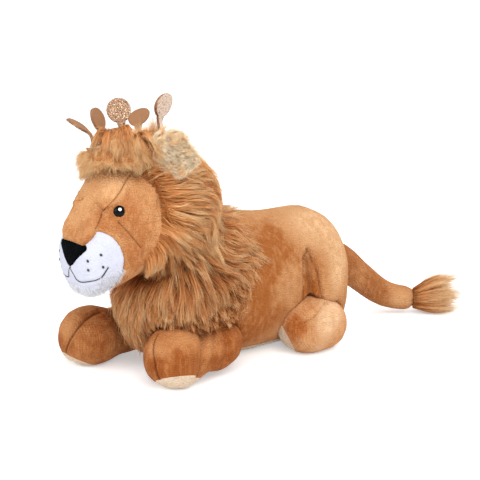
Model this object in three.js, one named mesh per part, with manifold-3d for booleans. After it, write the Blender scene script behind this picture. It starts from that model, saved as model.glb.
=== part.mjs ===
// A lying plush lion with a soft crown, sewn from stuffed panels that turn at their seams.
// Sizes are in millimetres. +Z is up, the lion looks along -Y and its left side is +X.
// The origin is on the ground, under the middle of the torso.
import * as THREE from "three";
import { mergeVertices } from "three/addons/utils/BufferGeometryUtils.js";
import Module from "manifold-3d";

const wasm = await Module();
wasm.setup();

// Clearances that every piece shares
const seam_gap = 0.3; // between two panels, or between a limb and its socket
const cut_margin = 0.25; // added to the gap where a cutter is coarser than the piece it clears
const sweep_margin = 1; // the same for a limb that turns
const rest_flat_depth = 0.5; // how much of a rounded underside is pressed flat
const cut_overrun = 60; // how far a cutting block runs past what it cuts
const weld_distance = 1e-4; // corners closer than this are one corner
const fur_squareness = 2.2; // 2 is an ellipse, more is squarer

// Torso
const torso_length = 184;
const torso_width = 90;
const torso_height = 113;
const torso_front_y = -86;
const torso_top_shares = [
  [0, 0.78], [0.13, 0.9], [0.28, 0.985], [0.46, 0.975], [0.61, 0.935], [0.83, 0.92], [0.93, 0.91], [1, 0.86],
];
const torso_bottom_shares = [[0, 0.28], [0.13, 0.17], [0.28, 0.08], [0.43, 0], [0.92, 0], [1, 0.06]];
const torso_width_shares = [
  [0, 0.7], [0.13, 0.86], [0.28, 0.93], [0.55, 0.93], [0.8, 1], [0.92, 0.97], [1, 0.86],
];
const torso_cap_shares = [0.13, 0.18];
const torso_squareness = 2;
const thigh_length = 60;
const thigh_width = 42;
const thigh_height = 84;
const thigh_centre_y = 54;
const thigh_outreach = 4; // how far the thigh swells past the side of the torso
const belly_panel_height = 8;

// Head
const head_length = 104;
const head_width = 80;
const head_height = 79;
const head_front_y = -153;
const head_base_z = 83;
const head_top_shares = [
  [0, 0.42], [0.05, 0.5], [0.11, 0.6], [0.18, 0.77], [0.26, 0.9], [0.36, 0.98], [0.5, 1], [0.7, 0.98],
  [1, 0.85],
];
const head_bottom_shares = [
  [0, -0.06], [0.06, -0.11], [0.14, -0.14], [0.28, -0.12], [0.4, -0.05], [0.5, 0], [1, 0.15],
];
const head_width_shares = [
  [0, 0.56], [0.06, 0.6], [0.14, 0.65], [0.22, 0.73], [0.3, 0.84], [0.4, 0.96], [0.5, 1], [0.75, 0.97],
  [1, 0.8],
];
const head_cap_shares = [0.09, 0.3];
const head_squareness = 2.15;
const head_turn_y = -82;
const head_turn_degrees = 15;

// White muzzle panel, the bridge panel that parts it above, and the black nose pad
const muzzle_length = 38;
const muzzle_height = 55;
const muzzle_centre_y = -146;
const muzzle_centre_z = 95;
const bridge_low_width = 24;
const bridge_high_width = 37;
const bridge_height = 13;
const nose_width = 29;
const nose_height = 16;
const nose_depth = 7;
const nose_top_z = 110.5;
const nose_pad = 0.6; // how far the pad stands proud of the muzzle
const nose_outline_shares = [
  [0, 0.03], [0.3, 0.03], [0.5, 0], [0.49, -0.2], [0.3, -0.52], [0.09, -0.93], [0, -1],
];

// Safety eyes
const eye_diameter = 9;
const eye_sink = 1.6; // the rim sits this deep in the stitched socket
const eye_dome_height = 3.4;
const eye_shank_diameter = 3;
const eye_shank_length = 9;
const eye_rib_height = 0.35;
const eye_rib_count = 3;
const eye_turn_degrees = 42.6; // from straight ahead, out to the side
const eye_rise_degrees = 20;
const eye_aim_y = -101; // the point inside the head from which both angles are taken
const eye_aim_z = 121;
const washer_diameter = 11;
const washer_thickness = 1.5;
const washer_hub_diameter = 6;
const washer_hub_height = 2.6;
const washer_depth = 3.2; // fabric and stuffing between the eye's rim and its washer

// Mane on the head: a ball at the back and below, fuller on top
const mane_length = 73;
const mane_front_y = -109;
const mane_top_z = 178;
const mane_ball_radius = 46;
const mane_ball_z = 126;
const mane_top_shares = [[0, 0.96], [0.15, 1], [0.4, 0.98], [0.75, 0.9], [1, 0.84]];
const mane_bottom_shares = [[0, 0.2], [0.15, 0.06], [0.4, 0], [0.75, 0.08], [1, 0.2]];
const mane_width_shares = [[0, 0.88], [0.15, 0.96], [0.4, 0.99], [0.6, 0.96], [0.8, 0.9], [1, 0.8]];
const mane_cap_shares = [0.1, 0.48];
const forelock_width = 66;
const forelock_length = 48;
const forelock_height = 33;
const forelock_front_y = -140;
const forelock_base_z = 148;
const forelock_top_shares = [[0, 0.9], [0.3, 1], [1, 1]];
const forelock_bottom_shares = [[0, 0.16], [0.3, 0.05], [1, 0]];
const forelock_width_shares = [[0, 0.8], [0.4, 1], [1, 0.94]];
const forelock_cap_shares = [0.4, 0.2];

// Chest and shoulder fur on the torso
const bib_length = 80;
const bib_width = 102;
const bib_height = 110;
const bib_front_y = -101;
const bib_top_shares = [[0, 0.62], [0.1, 0.7], [0.3, 0.9], [0.6, 1.04], [1, 1.04]];
const bib_bottom_shares = [[0, 0.24], [0.1, 0.18], [0.3, 0.13], [0.6, 0.16], [1, 0.3]];
const bib_width_shares = [[0, 0.62], [0.1, 0.74], [0.3, 0.92], [0.6, 1], [1, 0.92]];
const bib_cap_shares = [0.22, 0.12];

// Front legs, lying on the ground
const leg_length = 82;
const leg_width = 46;
const leg_height = 43;
const leg_top_shares = [[0, 0.96], [0.3, 1], [0.5, 0.93], [0.7, 0.9], [1, 0.94]];
const leg_bottom_shares = [[0, 0], [0.5, 0], [0.8, 0.13], [1, 0.18]];
const leg_width_shares = [[0, 0.96], [0.3, 1], [0.5, 0.88], [0.7, 0.8], [1, 0.78]];
const leg_cap_shares = [0.26, 0.22];
const leg_squareness = 2.2;
const leg_placings = {
  left: { x: 31, y: -46, toe_out_degrees: 3, in_degrees: 8, out_degrees: 20 },
  right: { x: 44, y: -67, toe_out_degrees: 4, in_degrees: 8, out_degrees: 20 },
};
const front_sole_length = 52;
const front_sole_height = 6;

// Hind feet
const foot_length = 57;
const foot_width = 45;
const foot_height = 43;
const foot_bottom_shares = [[0, 0], [1, 0]];
const foot_top_shares = [[0, 0.94], [0.3, 1], [0.6, 0.95], [1, 0.86]];
const foot_width_shares = [[0, 0.94], [0.3, 1], [0.6, 0.95], [1, 0.86]];
const foot_cap_shares = [0.38, 0.36];
const foot_hinge_x = 38;
const foot_hinge_y = 51;
const foot_out_degrees = 20;
const foot_sole_tilt_degrees = 38;
const foot_sole_depth = 11;

// Tail with its tuft
const tail_root_radius = 14;
const tail_end_radius = 9.5;
const tail_route = [[0, 82, 60], [1, 104, 54], [4, 126, 36], [12, 150, 17], [26, 172, 11]];
const tail_cap_shares = [0.14, 0.08];
const tail_side_degrees = 30;
const tuft_length = 37;
const tuft_width = 30;
const tuft_height = 36;
const tuft_turn_degrees = 40;
const tuft_top_shares = [[0, 0.72], [0.3, 0.8], [0.7, 0.96], [1, 1]];
const tuft_bottom_shares = [[0, 0.16], [0.3, 0.05], [0.7, 0], [1, 0]];
const tuft_width_shares = [[0, 0.66], [0.3, 0.8], [0.7, 1], [1, 1]];
const tuft_cap_shares = [0.2, 0.25];

// Ears
const ear_width = 34;
const ear_height = 32;
const ear_dish_depth = 6;
const ear_back_thickness = 3;
const ear_lining_thickness = 2;
const ear_rim = 4;
const ear_base_cut = 4; // how much of the round outline the base line cuts away
const ear_facing_degrees = 42;
const ear_placings = {
  left: { x: 30, y: -95.5, z: 160, lean_degrees: 40 }, // leaning out to the side
  right: { x: 36, y: -93, z: 152, lean_degrees: 70 }, // flopped down
};
const ear_fold_degrees = 15;

// Crown of two fabric layers, pushed a little out of round
const crown_radius = 26;
const crown_x = -4;
const crown_y = -94;
const crown_base_z = 160.5;
const crown_tilt_degrees = 17; // down on the lion's right
const crown_layer = 0.9; // thickness of each layer
const crown_scallop_height = 15;
const crown_peak_height = 21;
const crown_neck_width = 6;
const crown_neck_length = 6;
const crown_disc_diameter = 17;
const crown_tip_width = 1.2;
const crown_prong_share = 0.9; // a prong's thickness beside the band's, so that its root lies inside
const crown_prongs = [
  { degrees: -128, lean: 46 }, { degrees: -42, lean: 4 }, { degrees: 28, lean: 26 },
  { degrees: 128, lean: 45 }, { degrees: -168, lean: 6 },
];

const colours = {
  plush: 0xc4813f, cream: 0xe8cfa4, white: 0xf0eff4, black: 0x14141a,
  mane: 0xb98047, glitter: 0xa88658, lining: 0xb48a5a, washer: 0xd8d8d2,
};
const finish = {
  plush: new THREE.MeshStandardMaterial({ color: colours.plush, roughness: 0.95, metalness: 0 }),
  belly: new THREE.MeshStandardMaterial({ color: colours.cream, roughness: 0.95, metalness: 0 }),
  white: new THREE.MeshStandardMaterial({ color: colours.white, roughness: 0.95, metalness: 0 }),
  nose: new THREE.MeshStandardMaterial({ color: colours.black, roughness: 0.85, metalness: 0 }),
  eye: new THREE.MeshStandardMaterial({ color: colours.black, roughness: 0.08, metalness: 0 }),
  washer: new THREE.MeshStandardMaterial({ color: colours.washer, roughness: 0.5, metalness: 0 }),
  mane: new THREE.MeshStandardMaterial({ color: colours.mane, roughness: 0.9, metalness: 0 }),
  glitter: new THREE.MeshStandardMaterial({ color: colours.glitter, roughness: 0.35, metalness: 0.6 }),
  lining: new THREE.MeshStandardMaterial({ color: colours.lining, roughness: 0.85, metalness: 0 }),
};

// Joins and cuts of closed meshes
const bare = (geometry) => {
  const plain = geometry.clone();
  plain.deleteAttribute("normal");
  plain.deleteAttribute("uv");
  return mergeVertices(plain, weld_distance);
};
function solidOf(geometry) {
  const merged = bare(geometry);
  return new wasm.Manifold(
    new wasm.Mesh({
      numProp: 3,
      vertProperties: new Float32Array(merged.attributes.position.array),
      triVerts: new Uint32Array(merged.index.array),
    }),
  );
}
function geometryOf(solid) {
  const mesh = solid.getMesh();
  const geometry = new THREE.BufferGeometry();
  geometry.setAttribute("position", new THREE.BufferAttribute(mesh.vertProperties, 3));
  geometry.setIndex(new THREE.BufferAttribute(mesh.triVerts, 1));
  geometry.computeVertexNormals();
  return geometry;
}
const placed = (geometry, matrix) => geometry.clone().applyMatrix4(matrix);
const union = (solids) => solids.reduce((all, solid) => all.add(solid));
const without = (solid, cutters) => cutters.reduce((rest, cutter) => rest.subtract(cutter), solid);

// A block between two corners, given as [x, y, z]
function block(low, high) {
  const size = high.map((value, i) => value - low[i]);
  const box = new THREE.BoxGeometry(...size);
  return box.translate(...low.map((value, i) => value + size[i] / 2));
}

// Reads a table of [share along, value] rows as one smooth curve that never overshoots its rows
function readShares(table, along) {
  if (along <= table[0][0]) return table[0][1];
  const last = table.length - 1;
  if (along >= table[last][0]) return table[last][1];
  const slopes = table.slice(1).map((row, i) => (row[1] - table[i][1]) / (row[0] - table[i][0]));
  const tangent = (i) => {
    if (i === 0) return slopes[0];
    if (i === last) return slopes[last - 1];
    const [before, after] = [slopes[i - 1], slopes[i]];
    return before * after <= 0 ? 0 : (2 * before * after) / (before + after);
  };
  const i = table.findIndex((row, k) => along < table[k + 1][0]);
  const span = table[i + 1][0] - table[i][0];
  const t = (along - table[i][0]) / span;
  const [t2, t3] = [t * t, t * t * t];
  return (
    (2 * t3 - 3 * t2 + 1) * table[i][1] +
    (t3 - 2 * t2 + t) * span * tangent(i) +
    (3 * t2 - 2 * t3) * table[i + 1][1] +
    (t3 - t2) * span * tangent(i + 1)
  );
}

// A stuffed form: superellipse sections that swell and taper from one rounded end to the other.
// top, bottom and halfWidth give a section at a share along; place puts (share, x, z) in space.
// A socket is drawn round the outside of each section's curve, because it has few sides, and
// spread(share, side) widens it by how far the limb in it swings; its sides are 6, 10, 14 and so on.
function stuffedForm({
  top, bottom, halfWidth, caps, place, spread, squareness = 2, sides = 24, rings = 8, capRings = 4,
}) {
  const stations = [];
  for (let i = 1; i <= capRings; i++) {
    const angle = (i / capRings) * (Math.PI / 2);
    stations.push([caps[0] * (1 - Math.cos(angle)), Math.sin(angle)]);
  }
  for (let i = 1; i < rings; i++) stations.push([caps[0] + (i / rings) * (1 - caps[0] - caps[1]), 1]);
  for (let i = capRings; i >= 1; i--) {
    const angle = (i / capRings) * (Math.PI / 2);
    stations.push([1 - caps[1] * (1 - Math.cos(angle)), Math.sin(angle)]);
  }
  const reach = spread ? 1 / Math.cos(Math.PI / sides) : 1;
  const middle = (share) => (top(share) + bottom(share)) / 2;
  const points = [place(0, 0, middle(0))];
  for (const [share, swell] of stations) {
    const halfHeight = (reach * swell * (top(share) - bottom(share))) / 2;
    for (let k = 0; k < sides; k++) {
      const angle = (k / sides) * Math.PI * 2;
      const [c, s] = [Math.cos(angle), Math.sin(angle)];
      const across = Math.abs(c) ** (2 / squareness) * halfWidth(share) * swell * reach;
      const x = across + (spread ? spread(share, Math.sign(c)) : 0);
      const z = middle(share) + Math.sign(s) * Math.abs(s) ** (2 / squareness) * halfHeight;
      points.push(place(share, Math.sign(c) * x, z));
    }
  }
  points.push(place(1, 0, middle(1)));
  const index = [];
  const end = points.length - 1;
  const lastRing = end - sides;
  for (let k = 0; k < sides; k++) {
    const next = (k + 1) % sides;
    index.push(0, 1 + k, 1 + next);
    for (let ring = 0; ring < stations.length - 1; ring++) {
      const a = 1 + ring * sides + k;
      const b = 1 + ring * sides + next;
      index.push(a, a + sides, b, b, a + sides, b + sides);
    }
    index.push(end, lastRing + next, lastRing + k);
  }
  const geometry = new THREE.BufferGeometry();
  geometry.setAttribute("position", new THREE.Float32BufferAttribute(points.flatMap((p) => p.toArray()), 3));
  geometry.setIndex(index);
  return geometry;
}

// How much wider a limb's side reaches at a distance from its hinge when it swings
function swingReach(halfWidth, distance, degrees) {
  const angle = THREE.MathUtils.degToRad(degrees);
  return halfWidth * (1 / Math.cos(angle) - 1) + distance * Math.tan(angle);
}

// A stuffed form whose sections stand square to Y, from share tables of its own sizes.
// grow moves its whole surface outwards, for a cutter that leaves a gap. fan makes it the socket of
// a limb that swings about Z: its hinge's place along Y, and the degrees towards -X and +X.
function straightForm(size, tables, { grow = 0, sink = 0, fan, ...options } = {}) {
  const spread = (share, side) => {
    const distance = Math.abs(share * size.length - fan.hinge);
    return swingReach((size.width / 2) * readShares(tables.width, share), distance, fan.degrees[side]);
  };
  return stuffedForm({
    ...options,
    spread: fan && spread,
    top: (share) => size.height * readShares(tables.top, share) + grow,
    bottom: (share) => size.height * readShares(tables.bottom, share) - grow - sink,
    halfWidth: (share) => (size.width / 2) * readShares(tables.width, share) + grow,
    caps: tables.caps,
    squareness: tables.squareness,
    place: (share, x, z) => new THREE.Vector3(x, -grow + share * (size.length + 2 * grow), z),
  });
}

const upright = new THREE.Vector3(0, 0, 1);
const ellipsoid = (size, centre, segments = 24) =>
  new THREE.SphereGeometry(1, segments, segments / 2)
    .rotateX(Math.PI / 2)
    .scale(...size.map((value) => value / 2))
    .translate(...centre);
const underGround = () =>
  solidOf(block([-4 * cut_overrun, -6 * cut_overrun, -cut_overrun], [4 * cut_overrun, 6 * cut_overrun, 0]));

// Torso
const torsoTables = {
  top: torso_top_shares, bottom: torso_bottom_shares, width: torso_width_shares,
  caps: torso_cap_shares, squareness: torso_squareness,
};
function torsoForm(grow = 0) {
  const thighCentreX = torso_width / 2 + thigh_outreach - thigh_width / 2;
  const size = { length: torso_length, width: torso_width, height: torso_height };
  const options = { grow, sink: rest_flat_depth, sides: 24, rings: 8, capRings: 3 };
  const trunk = straightForm(size, torsoTables, options).translate(0, torso_front_y, 0);
  const thighs = [-1, 1].map((side) =>
    ellipsoid(
      [thigh_width + 2 * grow, thigh_length + 2 * grow, thigh_height + 2 * grow],
      [side * thighCentreX, thigh_centre_y, thigh_height / 2 - rest_flat_depth],
      18,
    ),
  );
  return union([trunk, ...thighs].map(solidOf));
}

// Front legs: built lying along -Y with the hinge at the origin, then turned out and moved
const legHingeToToe = leg_length * (1 - leg_cap_shares[1]);
function legForm(options = { sides: 20, rings: 6, capRings: 4 }) {
  const size = { length: leg_length, width: leg_width, height: leg_height };
  const tables = {
    top: leg_top_shares, bottom: leg_bottom_shares, width: leg_width_shares,
    caps: leg_cap_shares, squareness: leg_squareness,
  };
  return straightForm(size, tables, { ...options, sink: rest_flat_depth }).translate(0, -legHingeToToe, 0);
}
function legPlacing(side) {
  const sign = side === "left" ? 1 : -1;
  const { x, y, toe_out_degrees } = leg_placings[side];
  const turn = THREE.MathUtils.degToRad(sign * toe_out_degrees);
  return new THREE.Matrix4().makeRotationZ(turn).setPosition(sign * x, y, 0);
}
function legSocket(side) {
  const sign = side === "left" ? 1 : -1;
  const { in_degrees, out_degrees } = leg_placings[side];
  const fan = { hinge: legHingeToToe, degrees: { [-sign]: in_degrees, [sign]: out_degrees } };
  const socket = legForm({ grow: seam_gap + sweep_margin, fan, sides: 10, rings: 3, capRings: 3 });
  return solidOf(placed(socket, legPlacing(side)));
}

// The part of a front paw that its sole panel takes, in the leg's own frame
function frontSoleBlock(grow = 0) {
  return block(
    [-leg_width, -legHingeToToe - cut_overrun, -cut_overrun],
    [leg_width, -legHingeToToe + front_sole_length + grow, front_sole_height + grow],
  );
}

// Hind feet, built the same way
const footHingeToToe = foot_length * (1 - foot_cap_shares[1]);
function footForm(options = { sides: 20, rings: 3, capRings: 4 }) {
  const size = { length: foot_length, width: foot_width, height: foot_height };
  const tables = {
    top: foot_top_shares, bottom: foot_bottom_shares, width: foot_width_shares,
    caps: foot_cap_shares, squareness: leg_squareness,
  };
  return straightForm(size, tables, { ...options, sink: rest_flat_depth }).translate(0, -footHingeToToe, 0);
}
// The hind sole faces down and forward: a block below a plane that leans back from the toe
function footSoleBlock(grow = 0) {
  const tilt = THREE.MathUtils.degToRad(foot_sole_tilt_degrees);
  const middle = [-foot_length * (0.5 - foot_cap_shares[1]), foot_height / 2];
  const reach = Math.hypot((foot_length / 2) * Math.sin(tilt), (foot_height / 2) * Math.cos(tilt));
  const inward = reach - foot_sole_depth - grow;
  return block([-foot_width, -2 * cut_overrun, -2 * cut_overrun], [foot_width, 2 * cut_overrun, 0])
    .rotateX(-tilt)
    .translate(0, middle[0] - inward * Math.sin(tilt), middle[1] - inward * Math.cos(tilt));
}
const footPlacing = (sign) => new THREE.Matrix4().makeTranslation(sign * foot_hinge_x, foot_hinge_y, 0);
function footSocket(sign) {
  const fan = { hinge: footHingeToToe, degrees: { [-sign]: 0, [sign]: foot_out_degrees } };
  const socket = footForm({ grow: seam_gap + sweep_margin, fan, sides: 10, rings: 2, capRings: 3 });
  return solidOf(placed(socket, footPlacing(sign)));
}

// Tail
const tailCurve = new THREE.CatmullRomCurve3(tail_route.map((p) => new THREE.Vector3(...p)));
const tailHinge = tailCurve.getPointAt(tail_cap_shares[0]);
function tailForm({ grow = 0, ...options } = { sides: 16, rings: 10, capRings: 3 }) {
  const radius = (share) => THREE.MathUtils.lerp(tail_root_radius, tail_end_radius, share) + grow;
  return stuffedForm({
    ...options,
    top: radius,
    bottom: (share) => -radius(share),
    halfWidth: radius,
    caps: tail_cap_shares,
    place: (share, x, z) => {
      const tangent = tailCurve.getTangentAt(share);
      const across = new THREE.Vector3().crossVectors(tangent, upright).normalize();
      const up = new THREE.Vector3().crossVectors(across, tangent);
      const beyond = (share - 0.5) * 2 * grow; // a socket is longer at both ends too
      return tailCurve.getPointAt(share).addScaledVector(tangent, beyond)
        .addScaledVector(across, x).addScaledVector(up, z);
    },
  });
}
function tailSocket() {
  const spread = (share) => {
    const distance = tailCurve.getPointAt(share).distanceTo(tailHinge);
    return swingReach(tail_root_radius, distance, tail_side_degrees);
  };
  return solidOf(tailForm({ grow: seam_gap + sweep_margin / 2, spread, sides: 14, rings: 5, capRings: 3 }));
}
function tuftForm(grow = 0) {
  const size = { length: tuft_length, width: tuft_width, height: tuft_height };
  const tables = {
    top: tuft_top_shares, bottom: tuft_bottom_shares, width: tuft_width_shares,
    caps: tuft_cap_shares, squareness: fur_squareness,
  };
  const end = tailCurve.getPointAt(1);
  return straightForm(size, tables, { grow, sink: rest_flat_depth, sides: 18, rings: 4, capRings: 3 })
    .rotateZ(-THREE.MathUtils.degToRad(tuft_turn_degrees))
    .translate(end.x, end.y, 0);
}

// Head
const headTables = {
  top: head_top_shares, bottom: head_bottom_shares, width: head_width_shares,
  caps: head_cap_shares, squareness: head_squareness,
};
function headForm(options = { sides: 26, rings: 10, capRings: 4 }) {
  const size = { length: head_length, width: head_width, height: head_height };
  return straightForm(size, headTables, options).translate(0, head_front_y, head_base_z);
}
const headHinge = new THREE.Vector3(0, head_turn_y, mane_ball_z);
// The room that the snout and chin need in the chest fur as the head turns
function headSocket() {
  const degrees = { [-1]: head_turn_degrees, 1: head_turn_degrees };
  const fan = { hinge: head_turn_y - head_front_y, degrees };
  return solidOf(headForm({ grow: seam_gap + sweep_margin, fan, sides: 14, rings: 6, capRings: 2 }));
}
const neckBall = (grow = 0) => {
  const across = 2 * (mane_ball_radius + grow);
  return ellipsoid([across, across, across], headHinge.toArray(), 18);
};

// Mane on the head
function maneForm(grow = 0) {
  const lowest = mane_ball_z - mane_ball_radius;
  const size = { length: mane_length, width: 2 * mane_ball_radius, height: mane_top_z - lowest };
  const tables = {
    top: mane_top_shares, bottom: mane_bottom_shares, width: mane_width_shares,
    caps: mane_cap_shares,
  };
  const options = { grow, sides: 22, rings: 4, capRings: 4 };
  return straightForm(size, tables, options).translate(0, mane_front_y, lowest);
}

function forelockForm() {
  const size = { length: forelock_length, width: forelock_width, height: forelock_height };
  const tables = {
    top: forelock_top_shares, bottom: forelock_bottom_shares, width: forelock_width_shares,
    caps: forelock_cap_shares, squareness: fur_squareness,
  };
  return straightForm(size, tables, { sides: 18, rings: 3, capRings: 3 })
    .translate(0, forelock_front_y, forelock_base_z);
}

// Muzzle: the part of the snout inside an upright oval, less the bridge panel on top
function muzzleRegion(grow = 0) {
  const oval = new THREE.CylinderGeometry(1, 1, 1, 40)
    .rotateZ(Math.PI / 2)
    .scale(2 * head_width, muzzle_length / 2 + grow, muzzle_height / 2 + grow)
    .translate(0, muzzle_centre_y, muzzle_centre_z);
  const low = bridge_low_width / 2 - grow;
  const high = bridge_high_width / 2 - grow;
  const foot = nose_top_z + grow;
  const outline = new THREE.Shape([
    new THREE.Vector2(-low, foot), new THREE.Vector2(low, foot),
    new THREE.Vector2(high, foot + bridge_height), new THREE.Vector2(high, foot + cut_overrun),
    new THREE.Vector2(-high, foot + cut_overrun), new THREE.Vector2(-high, foot + bridge_height),
  ]);
  const bridge = new THREE.ExtrudeGeometry(outline, { depth: 2 * muzzle_length, bevelEnabled: false })
    .rotateX(Math.PI / 2)
    .translate(0, muzzle_centre_y + muzzle_length, 0);
  return solidOf(oval).subtract(solidOf(bridge));
}
function noseBlock(grow = 0) {
  const right = nose_outline_shares.map(([x, z]) => [x * nose_width, z * nose_height]);
  const left = right.slice(1, -1).reverse().map(([x, z]) => [-x, z]);
  const scaleX = 1 + (2 * grow) / nose_width;
  const scaleZ = 1 + (2 * grow) / nose_height;
  const corners = [...right, ...left].map(([x, z]) => new THREE.Vector2(x * scaleX, z * scaleZ));
  const outline = new THREE.Shape(corners);
  return new THREE.ExtrudeGeometry(outline, { depth: nose_depth + cut_overrun, bevelEnabled: false })
    .rotateX(Math.PI / 2)
    .translate(0, head_front_y + nose_depth + grow, nose_top_z + grow);
}

// A closed ring profile or a solid turned about Z, from [radius, height] points
const turned = (points, segments = 24) =>
  new THREE.LatheGeometry(points.map(([r, z]) => new THREE.Vector2(r, z)), segments).rotateX(Math.PI / 2);

// Safety eye along +Z: a dome over a ribbed shank that goes through the fabric
function eyeForm() {
  const radius = eye_diameter / 2;
  const dome = [];
  for (let i = 0; i <= 4; i++) {
    const angle = (i / 4) * (Math.PI / 2);
    dome.push([radius * Math.sin(angle), eye_dome_height * Math.cos(angle)]);
  }
  const shank = eye_shank_diameter / 2;
  const pitch = eye_shank_length / (2 * eye_rib_count);
  const ribs = [[shank, 0]];
  for (let i = 0; i < eye_rib_count; i++) {
    const z = -pitch * (2 * i + 1);
    ribs.push([shank, z], [shank + eye_rib_height, z - pitch / 2], [shank, z - pitch]);
  }
  return turned([[0, -eye_shank_length], ...ribs.reverse(), ...dome.reverse()], 14);
}
function washerForm() {
  const bore = eye_shank_diameter / 2 + eye_rib_height + seam_gap;
  const z = -washer_depth;
  return turned([
    [bore, z], [bore, z - washer_hub_height], [washer_hub_diameter / 2, z - washer_hub_height],
    [washer_hub_diameter / 2, z - washer_thickness], [washer_diameter / 2, z - washer_thickness],
    [washer_diameter / 2, z], [bore, z],
  ], 16);
}
// The hole through the fabric and the room behind it for the washer and the shank's end
function eyePocket() {
  const bore = eye_shank_diameter / 2 + eye_rib_height + seam_gap;
  const room = washer_diameter / 2 + seam_gap;
  const top = seam_gap - washer_depth;
  const socket = eye_diameter / 2 + seam_gap;
  const floor = -Math.max(eye_shank_length, washer_depth + washer_hub_height) - seam_gap;
  return turned([
    [0, floor], [room, floor], [room, top], [bore, top], [bore, -seam_gap],
    [socket, -seam_gap], [socket, cut_overrun / 4], [0, cut_overrun / 4],
  ], 16);
}
// Where a line from inside the head meets its skin, and the way that the skin faces there
function eyeSeat(sign) {
  const turn = THREE.MathUtils.degToRad(eye_turn_degrees);
  const rise = THREE.MathUtils.degToRad(eye_rise_degrees);
  const away = new THREE.Vector3(
    sign * Math.sin(turn) * Math.cos(rise), -Math.cos(turn) * Math.cos(rise), Math.sin(rise),
  );
  const inside = new THREE.Vector3(0, eye_aim_y, eye_aim_z);
  const skin = new THREE.Mesh(headForm(), new THREE.MeshBasicMaterial({ side: THREE.DoubleSide }));
  const hit = new THREE.Raycaster(inside, away).intersectObject(skin)[0];
  const facing = new THREE.Quaternion().setFromUnitVectors(upright, hit.face.normal);
  const seat = hit.point.addScaledVector(hit.face.normal, -eye_sink);
  return new THREE.Matrix4().compose(seat, facing, new THREE.Vector3(1, 1, 1));
}

// Ear, standing on its base line and facing -Y: a dished back and the lining that fills it
function earForm(frontDepth, backDepth, rim, grow = 0, rows = 3, segments = 24) {
  const radius = 0.5 - rim / ear_width;
  const bowl = (r) => ear_dish_depth * (1 - (r / 0.5) ** 2);
  const [front, back] = [[], []];
  for (let i = 0; i <= rows; i++) {
    const r = (i / rows) * radius;
    front.push(new THREE.Vector2(r, bowl(r) - frontDepth - grow));
    back.unshift(new THREE.Vector2(r, bowl(r) - backDepth + grow));
  }
  const disc = new THREE.LatheGeometry([...front, ...back], segments)
    .scale(ear_width + 2 * grow, 1, ear_height + 2 * grow)
    .translate(0, 0, ear_height / 2 - ear_base_cut);
  const below = block([-ear_width, -ear_height, -ear_height], [ear_width, ear_height, -grow]);
  return solidOf(disc).subtract(solidOf(below));
}
function earPlacing(side) {
  const sign = side === "left" ? 1 : -1;
  const { x, y, z, lean_degrees } = ear_placings[side];
  const lean = new THREE.Matrix4().makeRotationY(THREE.MathUtils.degToRad(sign * lean_degrees));
  const face = new THREE.Matrix4().makeRotationZ(THREE.MathUtils.degToRad(sign * ear_facing_degrees));
  return face.multiply(lean).setPosition(sign * x, y, z);
}
// The wedge of space that a folding ear passes through, as wide as its outline
function earSocket(side) {
  const gap = seam_gap + sweep_margin;
  const spread = ear_height * Math.tan(THREE.MathUtils.degToRad(ear_fold_degrees));
  const front = ear_dish_depth - ear_back_thickness - ear_lining_thickness - seam_gap;
  const deep = Math.min(front, -ear_back_thickness - ear_lining_thickness - seam_gap) - gap;
  const behind = ear_dish_depth + gap;
  const wedge = new THREE.Shape([
    new THREE.Vector2(deep, -gap), new THREE.Vector2(behind, -gap),
    new THREE.Vector2(behind + spread, ear_height), new THREE.Vector2(deep - spread, ear_height),
  ]);
  const slab = new THREE.ExtrudeGeometry(wedge, { depth: 2 * ear_width, bevelEnabled: false })
    .translate(0, 0, -ear_width)
    .rotateX(Math.PI / 2)
    .rotateZ(Math.PI / 2);
  const outline = new THREE.CylinderGeometry(ear_width / 2 + gap, ear_width / 2 + gap, 2 * ear_width, 18)
    .scale(1, 1, ear_height / ear_width)
    .translate(0, 0, ear_height / 2 - ear_base_cut);
  return solidOf(placed(slab, earPlacing(side))).intersect(solidOf(placed(outline, earPlacing(side))));
}

// One fabric layer of the crown: a scalloped band and its five disc-topped prongs.
// offset is how far the layer's middle lies outside the crown's own radius.
function crownLayer(offset) {
  const half = crown_layer / 2;
  const prongs = [...crown_prongs].sort((a, b) => a.degrees - b.degrees);
  const columns = 32;
  const bandTop = (degrees) => {
    const after = prongs.find((prong) => prong.degrees > degrees) ?? prongs[0];
    const before = prongs[(prongs.indexOf(after) + prongs.length - 1) % prongs.length];
    const turn = (value) => ((value % 360) + 360) % 360;
    const share = turn(degrees - before.degrees) / turn(after.degrees - before.degrees);
    const dip = Math.sqrt(Math.max(0, 1 - (2 * share - 1) ** 2));
    return crown_peak_height - (crown_peak_height - crown_scallop_height) * dip;
  };
  const band = [];
  for (let i = 0; i < columns; i++) {
    const degrees = (i / columns) * 360 - 180;
    const angle = THREE.MathUtils.degToRad(degrees);
    const at = (radius, z) => [radius * Math.cos(angle), radius * Math.sin(angle), z];
    const [inner, outer] = [crown_radius + offset - half, crown_radius + offset + half];
    band.push([at(inner, 0), at(outer, 0), at(outer, bandTop(degrees)), at(inner, bandTop(degrees))]);
  }
  return union([loft(band, true), ...prongs.map((prong) => crownProng(prong, offset))].map(solidOf));
}
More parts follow.
